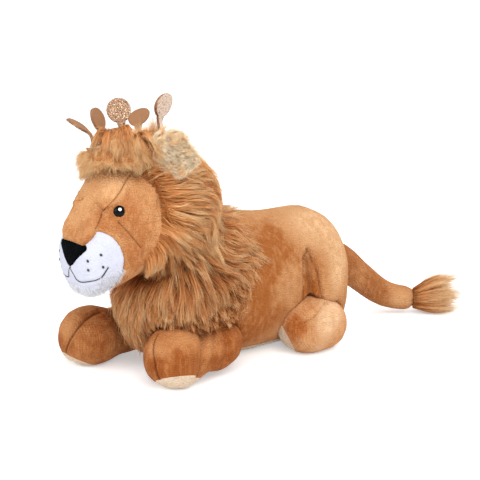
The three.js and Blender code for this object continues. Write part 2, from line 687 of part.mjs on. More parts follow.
// A prong rises from inside the band, bends over its neck and ends in a flat disc
function crownProng({ degrees, lean }, offset) {
  const half = (crown_prong_share * crown_layer) / 2;
  const radius = crown_disc_diameter / 2;
  const root = crown_scallop_height / 2;
  const straight = crown_peak_height - root;
  const discCentre = straight + crown_neck_length + radius;
  const steps = [0, straight];
  for (let i = 1; i <= 2; i++) steps.push(straight + (i / 2) * crown_neck_length);
  for (let i = 2; i <= 8; i++) steps.push(discCentre - radius * Math.cos((i / 8) * Math.PI));
  const neck = crown_neck_width / 2;
  let [out, z, before] = [crown_radius + offset, root, 0];
  const angle = THREE.MathUtils.degToRad(degrees);
  const rings = steps.map((step) => {
    const bent = THREE.MathUtils.clamp((step - straight) / crown_neck_length, 0, 1);
    const tilt = THREE.MathUtils.degToRad(lean * bent);
    out += (step - before) * Math.sin(tilt);
    z += (step - before) * Math.cos(tilt);
    before = step;
    const chord = radius ** 2 - (step - discCentre) ** 2;
    const narrowest = step < discCentre ? neck : crown_tip_width / 2;
    const width = Math.max(narrowest, Math.sqrt(Math.max(0, chord)));
    const corner = (x, w) => {
      const r = out + w * Math.cos(tilt);
      const [c, s] = [Math.cos(angle), Math.sin(angle)];
      return [r * c - x * s, r * s + x * c, z - w * Math.sin(tilt)];
    };
    return [corner(width, -half), corner(width, half), corner(-width, half), corner(-width, -half)];
  });
  return loft(rings, false);
}
// A skin over rings of four corners, closed round on itself or capped at both ends
function loft(rings, closed) {
  const sides = rings[0].length;
  const index = [];
  const last = rings.length - 1;
  for (let i = 0; i < (closed ? rings.length : last); i++) {
    for (let k = 0; k < sides; k++) {
      const [ring, nextRing] = [i * sides, ((i + 1) % rings.length) * sides];
      const next = (k + 1) % sides;
      const [a, b, c, d] = [ring + k, ring + next, nextRing + k, nextRing + next];
      index.push(a, c, b, b, c, d);
    }
  }
  for (let k = 1; !closed && k < sides - 1; k++) {
    index.push(0, k, k + 1, last * sides, last * sides + k + 1, last * sides + k);
  }
  const geometry = new THREE.BufferGeometry();
  geometry.setAttribute("position", new THREE.Float32BufferAttribute(rings.flat(2), 3));
  geometry.setIndex(index);
  return geometry;
}

const group = new THREE.Group();
function addPiece(name, solid, material) {
  const mesh = new THREE.Mesh(geometryOf(solid), material);
  mesh.name = name;
  group.add(mesh);
  return mesh;
}

const sides = ["left", "right"];
const ball = solidOf(neckBall(seam_gap + sweep_margin));
const sockets = [...sides.map(legSocket), ...[1, -1].map(footSocket), tailSocket(), ball];

const torsoWhole = without(torsoForm(), [underGround(), ...sockets]);
const bellyBlock = (height) =>
  solidOf(block([-torso_width, -torso_length, -cut_overrun], [torso_width, torso_length, height]));
addPiece("torso", torsoWhole.subtract(bellyBlock(belly_panel_height + seam_gap)), finish.plush);
addPiece("belly_panel", torsoWhole.intersect(bellyBlock(belly_panel_height)), finish.belly);

const bibTables = {
  top: bib_top_shares, bottom: bib_bottom_shares, width: bib_width_shares, caps: bib_cap_shares,
  squareness: fur_squareness,
};
const bibWhole = straightForm({ length: bib_length, width: bib_width, height: bib_height }, bibTables, {
  sides: 22, rings: 6, capRings: 4,
}).translate(0, bib_front_y, 0);
const bibCutters = [torsoForm(seam_gap + cut_margin), headSocket(), ...sockets];
addPiece("mane_chest", without(solidOf(bibWhole), bibCutters), finish.mane);

for (const side of sides) {
  const sign = side === "left" ? 1 : -1;
  const limbs = [
    ["front_leg", "front_sole", legForm(), frontSoleBlock, legPlacing(side)],
    ["hind_foot", "hind_sole", footForm(), footSoleBlock, footPlacing(sign)],
  ];
  for (const [limb, sole, form, soleBlock, placing] of limbs) {
    const whole = solidOf(placed(form, placing)).subtract(underGround());
    addPiece(`${limb}_${side}`, whole.subtract(solidOf(placed(soleBlock(seam_gap), placing))), finish.plush);
    addPiece(`${sole}_${side}`, whole.intersect(solidOf(placed(soleBlock(), placing))), finish.belly);
  }
}

addPiece("tail", without(solidOf(tailForm()), [underGround(), solidOf(tuftForm(seam_gap))]), finish.plush);
addPiece("tail_tuft", solidOf(tuftForm()).subtract(underGround()), finish.mane);

const crownPlace = new THREE.Matrix4()
  .makeRotationY(-THREE.MathUtils.degToRad(crown_tilt_degrees))
  .setPosition(crown_x, crown_y, crown_base_z);
const crownOffset = (crown_layer + seam_gap) / 2;
const crownSolid = (offset) => solidOf(placed(geometryOf(crownLayer(offset)), crownPlace));
addPiece("crown_glitter", crownSolid(crownOffset), finish.glitter);
addPiece("crown_lining", crownSolid(-crownOffset), finish.lining);
const crownReach = crown_layer + 2 * seam_gap;
const crownRoom = (() => {
  const [inner, outer] = [crown_radius - crownReach, crown_radius + crownReach];
  const [low, top] = [-seam_gap, crown_peak_height + cut_overrun];
  const ring = turned([[inner, low], [outer, low], [outer, top], [inner, top], [inner, low]], 24);
  return solidOf(placed(ring, crownPlace));
})();
// Everything inside, over and under the crown
function crownColumn(radius) {
  const column = new THREE.CylinderGeometry(radius, radius, 2 * cut_overrun, 24).rotateX(Math.PI / 2);
  return solidOf(placed(column, crownPlace));
}

const headWhole = solidOf(headForm());
const nosePocket = solidOf(noseBlock(seam_gap));
const eyeSeats = [1, -1].map(eyeSeat);
const eyePockets = eyeSeats.map((seat) => solidOf(placed(eyePocket(), seat)));
const headCutters = [muzzleRegion(seam_gap), nosePocket, ...eyePockets, crownRoom];
addPiece("head", without(headWhole, headCutters), finish.plush);
addPiece("muzzle", headWhole.intersect(muzzleRegion()).subtract(nosePocket), finish.white);
addPiece("nose", solidOf(headForm({ grow: nose_pad })).intersect(solidOf(noseBlock())), finish.nose);
for (const [i, side] of sides.entries()) {
  addPiece(`eye_${side}`, solidOf(placed(eyeForm(), eyeSeats[i])), finish.eye);
  addPiece(`eye_washer_${side}`, solidOf(placed(washerForm(), eyeSeats[i])), finish.washer);
}

const still = { hinge: 0, degrees: { [-1]: 0, 1: 0 } };
const skull = solidOf(headForm({ grow: seam_gap, fan: still, sides: 18, rings: 10, capRings: 4 }));
const earSockets = sides.map(earSocket);
const aboveBall = solidOf(block([-torso_width, head_front_y, mane_ball_z], [torso_width, 0, 2 * mane_top_z]));
const hairInCrown = solidOf(forelockForm()).intersect(crownColumn(crown_radius));
const maneWhole = solidOf(maneForm()).add(hairInCrown).intersect(solidOf(neckBall()).add(aboveBall));
const maneRoom = solidOf(maneForm(seam_gap));
addPiece("mane", without(maneWhole, [skull, crownRoom, ...earSockets]), finish.mane);
const forelockCutters = [skull, crownColumn(crown_radius + crownReach), maneRoom, ...earSockets];
addPiece("forelock", without(solidOf(forelockForm()), forelockCutters), finish.mane);
for (const side of sides) {
  const back = geometryOf(earForm(ear_back_thickness, 0, 0));
  const lining = geometryOf(
    earForm(ear_back_thickness + ear_lining_thickness + seam_gap, ear_back_thickness + seam_gap, ear_rim),
  );
  addPiece(`ear_back_${side}`, solidOf(placed(back, earPlacing(side))), finish.plush);
  addPiece(`ear_lining_${side}`, solidOf(placed(lining, earPlacing(side))), finish.belly);
}

export default group;
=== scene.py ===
# %% [markdown]
# # A plush lion with a soft crown
# The toy is a set of stuffed fabric panels with long pile on the mane, chest and tail tuft.
# The plain solids come in first, as a frame that gives every piece its size and place.
# Each soft solid then gets a finer skin, seams, pile and a cloth finish of its own.

# %% Load the solids and note their box
import math
import bmesh
import bpy
import numpy as np
from mathutils import Matrix, Vector, noise
from mathutils.bvhtree import BVHTree
from mathutils.kdtree import KDTree


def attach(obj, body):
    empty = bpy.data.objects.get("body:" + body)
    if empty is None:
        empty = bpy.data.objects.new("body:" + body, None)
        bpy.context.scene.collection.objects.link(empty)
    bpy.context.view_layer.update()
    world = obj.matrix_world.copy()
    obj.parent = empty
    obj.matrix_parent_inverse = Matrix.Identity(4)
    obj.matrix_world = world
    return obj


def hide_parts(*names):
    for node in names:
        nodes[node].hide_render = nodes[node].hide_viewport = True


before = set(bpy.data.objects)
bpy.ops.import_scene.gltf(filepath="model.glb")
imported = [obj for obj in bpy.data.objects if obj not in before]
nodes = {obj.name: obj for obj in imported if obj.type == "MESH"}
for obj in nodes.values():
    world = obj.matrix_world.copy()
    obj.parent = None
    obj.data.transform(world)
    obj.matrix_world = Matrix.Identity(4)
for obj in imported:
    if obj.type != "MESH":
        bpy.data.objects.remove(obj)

MM = 0.001
scene = bpy.context.scene
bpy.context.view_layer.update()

# %% [markdown]
# ## Camera
# The toy stands three-quarters on, seen from a little above, through a long lens.
# The camera could be aimed with a constraint, but a plain rotation keeps it free for other views.

# %% Camera
def sight_axes(azimuth, elevation):
    """Right, up and back of someone who looks from there; azimuth 0 is the toy's front."""
    a, e = math.radians(azimuth), math.radians(elevation)
    back = Vector((math.sin(a) * math.cos(e), -math.cos(a) * math.cos(e), math.sin(e)))
    right = Vector((math.cos(a), math.sin(a), 0))
    return right, back.cross(right), back


def looking_at(centre, azimuth, elevation, metres):
    """Where a camera or lamp stands that looks at a centre, given in millimetres."""
    axes = sight_axes(azimuth, elevation)
    turn = Matrix(axes).transposed().to_4x4()
    return Matrix.Translation(Vector(centre) * MM + axes[2] * metres) @ turn


camera = bpy.data.objects.new("camera", bpy.data.cameras.new("camera"))
scene.collection.objects.link(camera)
camera.data.lens, camera.data.sensor_width = 103.125, 36
camera.data.clip_start, camera.data.clip_end = 0.05, 60
camera.matrix_world = looking_at((-33.21, 29.48, 75), 50, 15, 1.1)
scene.camera = camera
print("camera at", [round(v, 3) for v in camera.location])

# %% [markdown]
# ## Helpers for nodes
# Materials, node groups and the world are all built with the same few steps, so one small class
# holds them.

# %% Node helpers
def linear(red, green, blue):
    """A screen colour of 0 to 255 as the linear colour that shaders take."""
    def one(v):
        v /= 255
        return v / 12.92 if v <= 0.04045 else ((v + 0.055) / 1.055) ** 2.4
    return (one(red), one(green), one(blue), 1)


class Net:
    """Adds nodes to one tree. A value is a number, a colour or the output of another node."""

    def __init__(self, tree):
        self.tree = tree

    def feed(self, node, values):
        for socket, value in values.items():
            if isinstance(value, bpy.types.NodeSocket):
                self.tree.links.new(value, node.inputs[socket])
            else:
                node.inputs[socket].default_value = value

    def add(self, kind, values=None, **settings):
        node = self.tree.nodes.new("ShaderNode" + kind)
        for key, value in settings.items():
            setattr(node, key, value)
        self.feed(node, values or {})
        return node.outputs

    def math(self, operation, first, second):
        return self.add("Math", {0: first, 1: second}, operation=operation)[0]

    def plus(self, first, second):
        return self.math("ADD", first, second)

    def times(self, first, second):
        return self.math("MULTIPLY", first, second)

    def vector(self, operation, first, second):
        return self.add("VectorMath", {0: first, 1: second}, operation=operation)

    def mix(self, factor, first, second):
        return self.add("Mix", {0: factor, 6: first, 7: second}, data_type="RGBA")[2]

    def remap(self, value, low, high, to_low=0.0, to_high=1.0):
        return self.add("MapRange", {"Value": value, "From Min": low, "From Max": high, "To Min": to_low,
                                     "To Max": to_high}, interpolation_type="SMOOTHSTEP")[0]

    def place(self):
        return self.add("TexCoord")["Object"]

    def noise(self, place, scale, detail, distortion=0.0):
        return self.add("TexNoise", {"Vector": place, "Scale": scale, "Detail": detail,
                                     "Distortion": distortion})["Fac"]

    def cells(self, place, scale, randomness=1.0):
        return self.add("TexVoronoi", {"Vector": place, "Scale": scale, "Randomness": randomness})

    def attribute(self, name):
        return self.add("Attribute", attribute_name=name)["Fac"]


def plain_material(name):
    material = bpy.data.materials.new(name)
    material.use_nodes = True
    return material, Net(material.node_tree), material.node_tree.nodes["Principled BSDF"]


def new_group(name, inputs, outputs):
    """A node group; the value of an input says whether it takes a colour or a number."""
    group = bpy.data.node_groups.new(name, "ShaderNodeTree")
    for label, value in inputs.items():
        kind = "NodeSocketColor" if isinstance(value, tuple) else "NodeSocketFloat"
        group.interface.new_socket(name=label, in_out="INPUT", socket_type=kind).default_value = value
    for label in outputs:
        kind = {"Color": "NodeSocketColor", "Normal": "NodeSocketVector"}.get(label, "NodeSocketFloat")
        group.interface.new_socket(name=label, in_out="OUTPUT", socket_type=kind)
    given = group.nodes.new("NodeGroupInput").outputs
    return group, Net(group), given, group.nodes.new("NodeGroupOutput")


def group_material(name, group, values, finish):
    """A material that shows what a node group gives."""
    material, net, principled = plain_material(name)
    for output in net.add("Group", values, node_tree=group):
        net.feed(principled, {"Base Color" if output.name == "Color" else output.name: output})
    net.feed(principled, finish)
    return material


def new_object(name, bm):
    mesh = bpy.data.meshes.new(name)
    bm.to_mesh(mesh)
    bm.free()
    obj = bpy.data.objects.new(name, mesh)
    scene.collection.objects.link(obj)
    return obj


print("node helpers ready")

# %% [markdown]
# ## Floor, backdrop and lamps
# The toy lies on a white table. A soft key light comes from above and from its left, a lower fill
# from its front and a third lamp from behind. The world fills the shadows.

# %% Floor and backdrop
white = (1, 1, 1, 1)
floor_material, net, principled = plain_material("white_table")
ray = net.add("LightPath")
glow = net.times(net.math("MAXIMUM", ray["Is Camera Ray"], ray["Is Glossy Ray"]), 0.4)
net.feed(principled, {"Base Color": (0.9, 0.9, 0.9, 1), "Roughness": 0.9, "Specular IOR Level": 0.1,
                      "Emission Color": white, "Emission Strength": glow})
bm = bmesh.new()
bmesh.ops.create_circle(bm, cap_ends=True, segments=64, radius=14)
floor = new_object("floor", bm)
floor.data.materials.append(floor_material)

scene.world = bpy.data.worlds.new("soft_room")
scene.world.use_nodes = True
net = Net(scene.world.node_tree)
net.tree.nodes.clear()
ray = net.add("LightPath")
mirrored_ray = net.math("MAXIMUM", ray["Is Glossy Ray"], ray["Is Transmission Ray"])
seen = net.math("MAXIMUM", ray["Is Camera Ray"], mirrored_ray)
strength = net.add("MapRange", {"Value": seen, "To Min": 0.67, "To Max": 1.0})[0]
shade = net.add("Background", {"Color": white, "Strength": strength})[0]
net.add("OutputWorld", {"Surface": shade})
scene.view_settings.view_transform = "Standard"
print("floor and world made")

# %% Lamps
def softbox(name, azimuth, elevation, distance, size, watts, centre=(0, 0, 90)):
    lamp = bpy.data.lights.new(name, "AREA")
    lamp.shape, lamp.size, lamp.energy = "DISK", size, watts
    holder = bpy.data.objects.new(name, lamp)
    scene.collection.objects.link(holder)
    holder.matrix_world = looking_at(centre, azimuth, elevation, distance)
    return holder


softbox("key", 64, 47, 1.5, 1.3, 16)
softbox("fill", -16, 25, 1.8, 1.2, 7.6)
softbox("rim", 185, 42, 1.8, 1.0, 9)

# %% [markdown]
# ## Short plush
# Two more layers paint light and shade into the colour: pale patches where light falls on the pile, and shade in
# seams and creases.
# The skin is a knitted plush with a pile of a millimetre or two. Close up it is a field of small
# tufts in loose rows; where the pile has been brushed the wrong way it shows darker, redder patches.
# An image could give this, but a node group on Object coordinates fits every panel at true scale.

# %% ShortPile: tufts, brushed patches, painted light, and painted shade in seams and creases
tufts_per_metre, tuft_height = 600, 0.0014
pile_group, net, given, result = new_group("ShortPile", {
    "Light": (0.8, 0.5, 0.3, 1), "Brushed": (0.6, 0.3, 0.1, 1), "Seam": (0.2, 0.1, 0.04, 1),
    "Patch Amount": 1.0, "Patch Threshold": 0.5, "Tuft Depth": 1.0, "Speckle": 0.45, "Unevenness": 0.6,
    "Deep": (0.5, 0.25, 0.1, 1), "Pale and Lit": (0.9, 0.7, 0.5, 1)}, ("Color", "Roughness", "Normal"))
place, nap_and_light = net.place(), net.attribute("nap_and_light")
drift = net.plus(net.times(net.noise(place, 24, 3, 0.6), 0.6), net.times(net.noise(place, 75, 4, 0.8), 0.4))
drift = net.math("SUBTRACT", net.plus(drift, net.times(nap_and_light, 0.30)), given["Patch Threshold"])
patch = net.times(net.remap(drift, -0.14, 0.16), given["Patch Amount"])
mottle = net.noise(place, 210, 4, 0.4)
gap = net.remap(net.cells(place, tufts_per_metre, given["Unevenness"])["Distance"], 0.22, 0.7)
speckle = net.plus(net.times(gap, 0.55), net.remap(mottle, 0.3, 0.7, 0.0, 0.6))
combed = net.vector("MULTIPLY", place, (1, 1, 0.3))[0]
streaks = net.remap(net.noise(combed, 330, 3, 0.5), 0.42, 0.8, 0.0, 0.45)
lying_and_lit = net.times(net.remap(net.times(nap_and_light, -1.0), 0.1, 1.1), net.remap(mottle, 0.3, 0.62, 0.35, 0.95))
colour = net.mix(patch, given["Light"], given["Brushed"])
# The last mixes darken the gaps between tufts, lighten streaks, paint light where the skin is marked pale,
# partly nap that lies flat, and paint shade into grooves and creases.
for factor, towards in ((net.times(speckle, given["Speckle"]), "Deep"), (streaks, "Light"), (lying_and_lit, "Pale and Lit"),
                        (net.remap(net.attribute("fold_shade"), 0.12, 0.95), "Seam")):
    colour = net.mix(factor, colour, given[towards])
bump = net.add("Bump", {"Strength": 0.85, "Distance": net.times(given["Tuft Depth"], tuft_height),
                        "Height": net.plus(net.times(gap, -0.5), mottle)})
net.feed(result, {"Color": colour, "Roughness": net.remap(mottle, 0.2, 0.8, 0.78, 0.95),
                  "Normal": bump["Normal"]})
print("node group:", pile_group.name)


def short_pile(name, light, brushed, deep, seam_shade, pale_and_lit=None, amount=1.0, threshold=0.5, depth=1.0, sheen=0.25,
               speckle=0.5, unevenness=0.7, shine=0.15):
    values = {label: linear(*colour) for label, colour in (
        ("Light", light), ("Brushed", brushed), ("Deep", deep), ("Seam", seam_shade), ("Pale and Lit", pale_and_lit or light))}
    values.update({"Patch Amount": amount, "Patch Threshold": threshold, "Tuft Depth": depth,
                   "Speckle": speckle, "Unevenness": unevenness})
    return group_material(name, pile_group, values, {
        "Specular IOR Level": shine, "Sheen Weight": sheen, "Sheen Roughness": 0.45,
        "Sheen Tint": values["Light"]})


# Each finish lists light, brushed, deep, seam and pale colours; the seam colour is painted shade for grooves and
# creases, and the pale one is painted light, partly nap that lies flat.
tan_plush = short_pile("tan_plush", (208, 152, 102), (166, 94, 40), (154, 88, 40), (108, 58, 26),
                       (228, 182, 136), speckle=0.42)
tail_plush = short_pile("tail_plush", (206, 146, 96), (166, 100, 52), (150, 88, 42), (108, 60, 28),
                        (218, 166, 116), 0.9, 0.48)
face_plush = short_pile("face_plush", (225, 168, 115), (180, 109, 59), (165, 96, 48), (112, 62, 28),
                        (236, 184, 132), 0.85, 0.52, 1.2, speckle=0.42)
paw_plush = short_pile("paw_plush", (214, 146, 90), (168, 92, 40), (136, 70, 28), (96, 48, 20),
                       (226, 168, 116), 1.0, 0.46, 1.2, speckle=0.6, unevenness=0.25)
foot_plush = short_pile("foot_plush", (232, 174, 122), (192, 110, 50), (160, 88, 38), (120, 64, 28),
                        (240, 198, 156), 1.0, 0.52, 1.2, unevenness=0.25)
cream_plush = short_pile("cream_plush", (242, 224, 202), (228, 200, 172), (206, 172, 138), (176, 130, 94),
                         amount=0.5)
white_plush = short_pile("white_plush", (212, 214, 228), (204, 207, 222), (184, 187, 206), (150, 150, 168),
                         None, 0.4, 0.5, 0.35, 0.1, 0.15, 1.0)
black_velvet = short_pile("black_velvet", (5, 7, 9), (16, 20, 24), (2, 3, 4), (3, 3, 4),
                          None, 0.4, 0.55, 0.8, 0.0, shine=0.03)
# The ear lining is lighter than the cream plush: painted light for an ear that sits in shade.
ear_plush = short_pile("ear_plush", (255, 228, 190), (250, 212, 166), (240, 194, 146), (190, 140, 100),
                       None, 0.4, 0.5, 0.8, 0.2, 0.3)
# The backing under the long pile has the dark colour of the roots, which paints the shade under the strands.
undercoat_cloth = short_pile("undercoat_cloth", (186, 114, 58), (150, 86, 40), (130, 72, 32), (96, 52, 24))
print("plush finishes made")

# %% [markdown]
# ## Stuffed skins
# Each panel is fabric pulled tight over filling, so its solid turns into one smooth closed skin.
# Sculpting is one way. A voxel remesh of the solid, then smoothing and a slight swelling, gives an
# even mesh that seams can be pressed into afterwards. Lengths from here on are in millimetres.

# %% Skin helpers
def vertex_array(mesh, what="co"):
    values = np.empty(len(mesh.vertices) * 3, np.float32)
    mesh.vertices.foreach_get(what, values)
    return values.reshape(-1, 3).astype(float) / (MM if what == "co" else 1)


def write_vertices(mesh, places):
    mesh.vertices.foreach_set("co", (places * MM).astype(np.float32).ravel())
    mesh.update()


def settle(obj):
    """The object's modifiers become its mesh."""
    mesh = bpy.data.meshes.new_from_object(obj.evaluated_get(bpy.context.evaluated_depsgraph_get()))
    obj.modifiers.clear()
    before, obj.data = obj.data, mesh
    bpy.data.meshes.remove(before)
    mesh.name = obj.name


def stuffed_skin(name, sources, voxel, rounds, swell, material):
    bm = bmesh.new()
    for source in sources:
        bm.from_mesh(nodes[source].data)
    bmesh.ops.remove_doubles(bm, verts=bm.verts, dist=0.02 * MM)
    obj = new_object(name, bm)
    remesh = obj.modifiers.new("even", "REMESH")
    remesh.mode, remesh.voxel_size = "VOXEL", voxel * MM
    obj.modifiers.new("soft", "SMOOTH").iterations = rounds
    settle(obj)
    mesh = obj.data
    write_vertices(mesh, vertex_array(mesh) + vertex_array(mesh, "normal") * swell)
    for label in ("fold_shade", "nap_and_light"):
        mesh.attributes.new(label, "FLOAT", "POINT")
    mesh.materials.clear()
    mesh.materials.append(material)
    mesh.shade_smooth()
    return obj


def finish_skin(obj, body, replaced):
    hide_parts(replaced)
    write_vertices(obj.data, np.maximum(vertex_array(obj.data), [-np.inf, -np.inf, 0]))
    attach(obj, body)
    print(obj.name, "faces:", len(obj.data.polygons))


def dress(obj, body, material, replaced=None):
    """The finish, slot and body of a piece that has no filling."""
    obj.data.materials.append(material)
    obj.data.shade_smooth()
    if replaced:
        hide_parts(replaced)
    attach(obj, body)
    print(obj.name, "faces:", len(obj.data.polygons))


# %% Seam helpers
def smooth_line(points, spacing=1.5):
    """Points along a rounded line through the given ones."""
    p = np.array(points, float)
    ends = np.vstack([2 * p[0] - p[1], p, 2 * p[-1] - p[-2]])
    line = []
    for a, b, c, d in zip(ends[:-3], ends[1:-2], ends[2:-1], ends[3:]):
        n = max(2, int(np.linalg.norm(c - b) / spacing))
        t = np.linspace(0, 1, n, endpoint=False)[:, None]
        line.append(0.5 * (2 * b + (c - a) * t + (2 * a - 5 * b + 4 * c - d) * t**2
                           + (3 * b - a - 3 * c + d) * t**3))
    return np.vstack([*line, p[-1:]])


def nearest(tree, points):
    """Places and normals on a form, nearest to some points."""
    found = [tree.find_nearest(Vector(p)) for p in points]
    return np.array([f[0] for f in found]), np.array([f[1] for f in found])


def on_surface(obj, line, lift=0.0):
    """The line's points moved onto the object, and the normals there."""
    tree = BVHTree.FromObject(obj, bpy.context.evaluated_depsgraph_get())
    places, normals = nearest(tree, [Vector(p) * MM for p in line])
    return places / MM + normals * lift, normals


def distance_to_line(places, line):
    best = np.full(len(places), 1e9)
    for a, b in zip(line[:-1], line[1:]):
        ab = b - a
        t = np.clip((places - a) @ ab / max(ab @ ab, 1e-9), 0, 1)
        best = np.minimum(best, np.linalg.norm(places - a - t[:, None] * ab, axis=1))
    return best


def mirrored(rows):
    """Points, or rows that start with one, on the toy's other side."""
    return [(-x, *rest) for x, *rest in rows]


def raise_skin(obj, rise, fold_shade=0.0):
    """Moves each vertex out along its normal and notes how much shade is painted on it where it lies in a fold.
    """
    mesh = obj.data
    write_vertices(mesh, vertex_array(mesh) + vertex_array(mesh, "normal") * rise[:, None])
    values = np.empty(len(rise), np.float32)
    data = mesh.attributes["fold_shade"].data
    data.foreach_get("value", values)
    data.foreach_set("value", np.maximum(values, fold_shade).astype(np.float32))


def press_seam(obj, points, width=1.1, depth=0.9, painted_shade=1.0, puff=0.35):
    """A sewn line: a narrow groove with the fabric rising a little on both sides, and shade painted into the
    groove.
    """
    line, _ = on_surface(obj, smooth_line(points))
    away = distance_to_line(vertex_array(obj.data), line)
    rise = puff * np.exp(-(((away - 2.6 * width) / (1.3 * width)) ** 2))
    rise -= depth * np.exp(-((away / width) ** 2))
    raise_skin(obj, rise, painted_shade * np.exp(-((away / (0.75 * width)) ** 2)))


def mound(obj, centre, radius, power=2):
    """1 at the centre, falling softly to 0 outside the radius."""
    return np.exp(-((np.linalg.norm(vertex_array(obj.data) - np.array(centre), axis=1) / radius) ** power))


def puff_out(obj, spots):
    """Soft swellings, or with a negative amount dents: (x, y, z, radius, amount)."""
    for *centre, radius, amount in spots:
        raise_skin(obj, amount * mound(obj, centre, radius))


def brush_nap_and_light(obj, spots):
    """Patches of brushed nap and of painted light and shade: (x, y, z, radius, from 1 for dark to -1 for pale).
    """
    values = sum(amount * mound(obj, centre, radius) for *centre, radius, amount in spots)
    obj.data.attributes["nap_and_light"].data.foreach_set("value", values.astype(np.float32))


def cut_skin(obj, name, on_plane, facing, material):
    """Cuts the skin along a plane into two closed skins; the one on the facing side is the new piece."""
    halves = []
    for side in (-1, 1):
        bm = bmesh.new()
        bm.from_mesh(obj.data)
        geometry = bm.verts[:] + bm.edges[:] + bm.faces[:]
        bmesh.ops.bisect_plane(bm, geom=geometry, plane_co=Vector(on_plane) * MM, plane_no=Vector(facing) * side,
                               clear_inner=True)
        rim = [e for e in bm.edges if e.is_boundary]
        bmesh.ops.edgeloop_fill(bm, edges=rim)
        for e in rim:
            e.smooth = False
        bmesh.ops.recalc_face_normals(bm, faces=bm.faces)
        halves.append(bm)
    kept, cut = halves
    kept.to_mesh(obj.data)
    kept.free()
    new = new_object(name, cut)
    new.data.materials.clear()
    new.data.materials.append(material)
    for piece in (obj, new):
        piece.data.shade_smooth()
    return new


print("skin and seam helpers ready")

# %% [markdown]
# ## Torso, belly and limbs
# The body is one long skin with a dart that folds in front of each haunch. The dart is a sewn wedge:
# two seams that meet at a point, with the cloth between them sunk and painted dark as its shade.

# %% Torso and belly
torso = stuffed_skin("torso_skin", ["torso"], 1.6, 14, 0.5, tan_plush)
dart_middle = [(39.5, 37, 74), (42, 36, 64), (44, 36, 54), (44, 36, 42), (43, 36, 32)]
dart_front = [(37, 38.5, 80), (40.5, 32.5, 68), (41.8, 30, 55), (41.8, 29.5, 44), (40, 30, 34)]
dart_back = [(37, 38.5, 80), (40.5, 40.6, 70.8), (43, 42, 64), (45.9, 43, 51), (47, 45, 40)]
spine = [(0, -30, 111), (0, 10, 110), (0, 50, 106), (0, 85, 95), (0, 95, 70)]
both_sides = (list, mirrored)
for flip in both_sides:
    # The dart's middle is a wide groove painted dark as its shade; its two seams have painted shade too.
    press_seam(torso, flip(dart_middle), 5.5, 3.8, 0.56, 0.3)
    press_seam(torso, flip(dart_front), 1.3, 1.5, 0.8)
    press_seam(torso, flip(dart_back), 1.3, 1.3, 0.7)
    puff_out(torso, flip([(52, 52, 42, 12, 2.6), (40, 30, 40, 9, 1.6)]))
press_seam(torso, spine, 1.2, 0.5, 0.35, 0.2)
# Dark and pale patches, part brushed nap and part painted light and shade: pale where light falls on the top of
# the back and the haunch, dark in the dart and beside the mane.
spots = [(35, 6, 84, 13, 0.9), (42, -14, 58, 14, 0.7), (40, -14, 30, 14, 0.9), (47, 59, 54, 9, -0.8),
         (44, 36, 46, 7, 1.4), (43, 36, 60, 5, 0.9), (26, 10, 98, 10, 0.5), (38, -2, 70, 9, 0.6),
         (44, 8, 36, 8, 0.5), (25, 52, 96, 22, -1.0), (42, 68, 68, 13, -1.2), (42, 16, 54, 12, -0.3),
         (22, 78, 88, 18, -0.9), (10, 10, 108, 18, -0.2), (46, 50, 38, 9, -0.9)]
brush_nap_and_light(torso, spots + mirrored(spots))
finish_skin(torso, "torso", "torso")
belly = stuffed_skin("belly_skin", ["belly_panel"], 1.4, 6, 0.3, cream_plush)
finish_skin(belly, "torso", "belly_panel")

# %% Front legs, each cut along a slanted plane where the sole is sewn in
# Each crease: its line, width, depth, and the shade painted into it.
ankle_creases = [  # line, width, depth, dark
    ([(38, -66, 40), (44.2, -68.4, 36.8), (52.3, -74, 28.9), (54.7, -77.9, 19), (53, -79, 8)], 4.5, 3.4, 0.4),
    ([(40, -58, 38), (44.3, -60.2, 35), (50.8, -63.6, 26.1), (51.4, -66, 14.5)], 2.6, 1.8, 0.34),
    ([(42, -51, 36), (46.7, -52.8, 31.7), (49.8, -53.5, 21.9), (47.5, -54.5, 10.7)], 2.4, 1.5, 0.3),
]
# Patches on the paw, part brushed nap and part painted light: pale where light falls on its top.
paw_spots = [(30, -101, 30, 9, -0.5), (45, -88, 39, 12, -0.5), (43, -103, 30, 9, -0.4),
             (52, -95, 24, 10, 0.2), (48, -66, 30, 14, -0.35), (38, -107, 20, 6, 0.9), (32, -106, 28, 8, -0.3)]
ankle, ankle_spread = (37, -66, 27), 11
front_legs = (  # side, flip, shift in x and y, pull at the ankle, depth of its creases, toe seam, sole plane
    ("left", list, (0, 0), 0.2, 1,
     [(26.9, -97.7, 39.5), (29.2, -102.7, 35.9), (32.7, -106.6, 31), (36.6, -108.7, 25), (38.7, -108.7, 18),
      (39.8, -107.4, 11)], ((50.1, -100.5, 14.1), (0.5, -0.25, -1))),
    ("right", mirrored, (-13.7, -21), 0.1, 0.5,
     [(-37.6, -103.6, 41.2), (-36.5, -115.2, 39.2), (-36.9, -124, 33.2), (-40, -129.4, 24.2),
      (-45.3, -129.8, 15), (-48, -128, 9)], ((-46, -130, 12), (-0.1, -0.5, -1))),
)
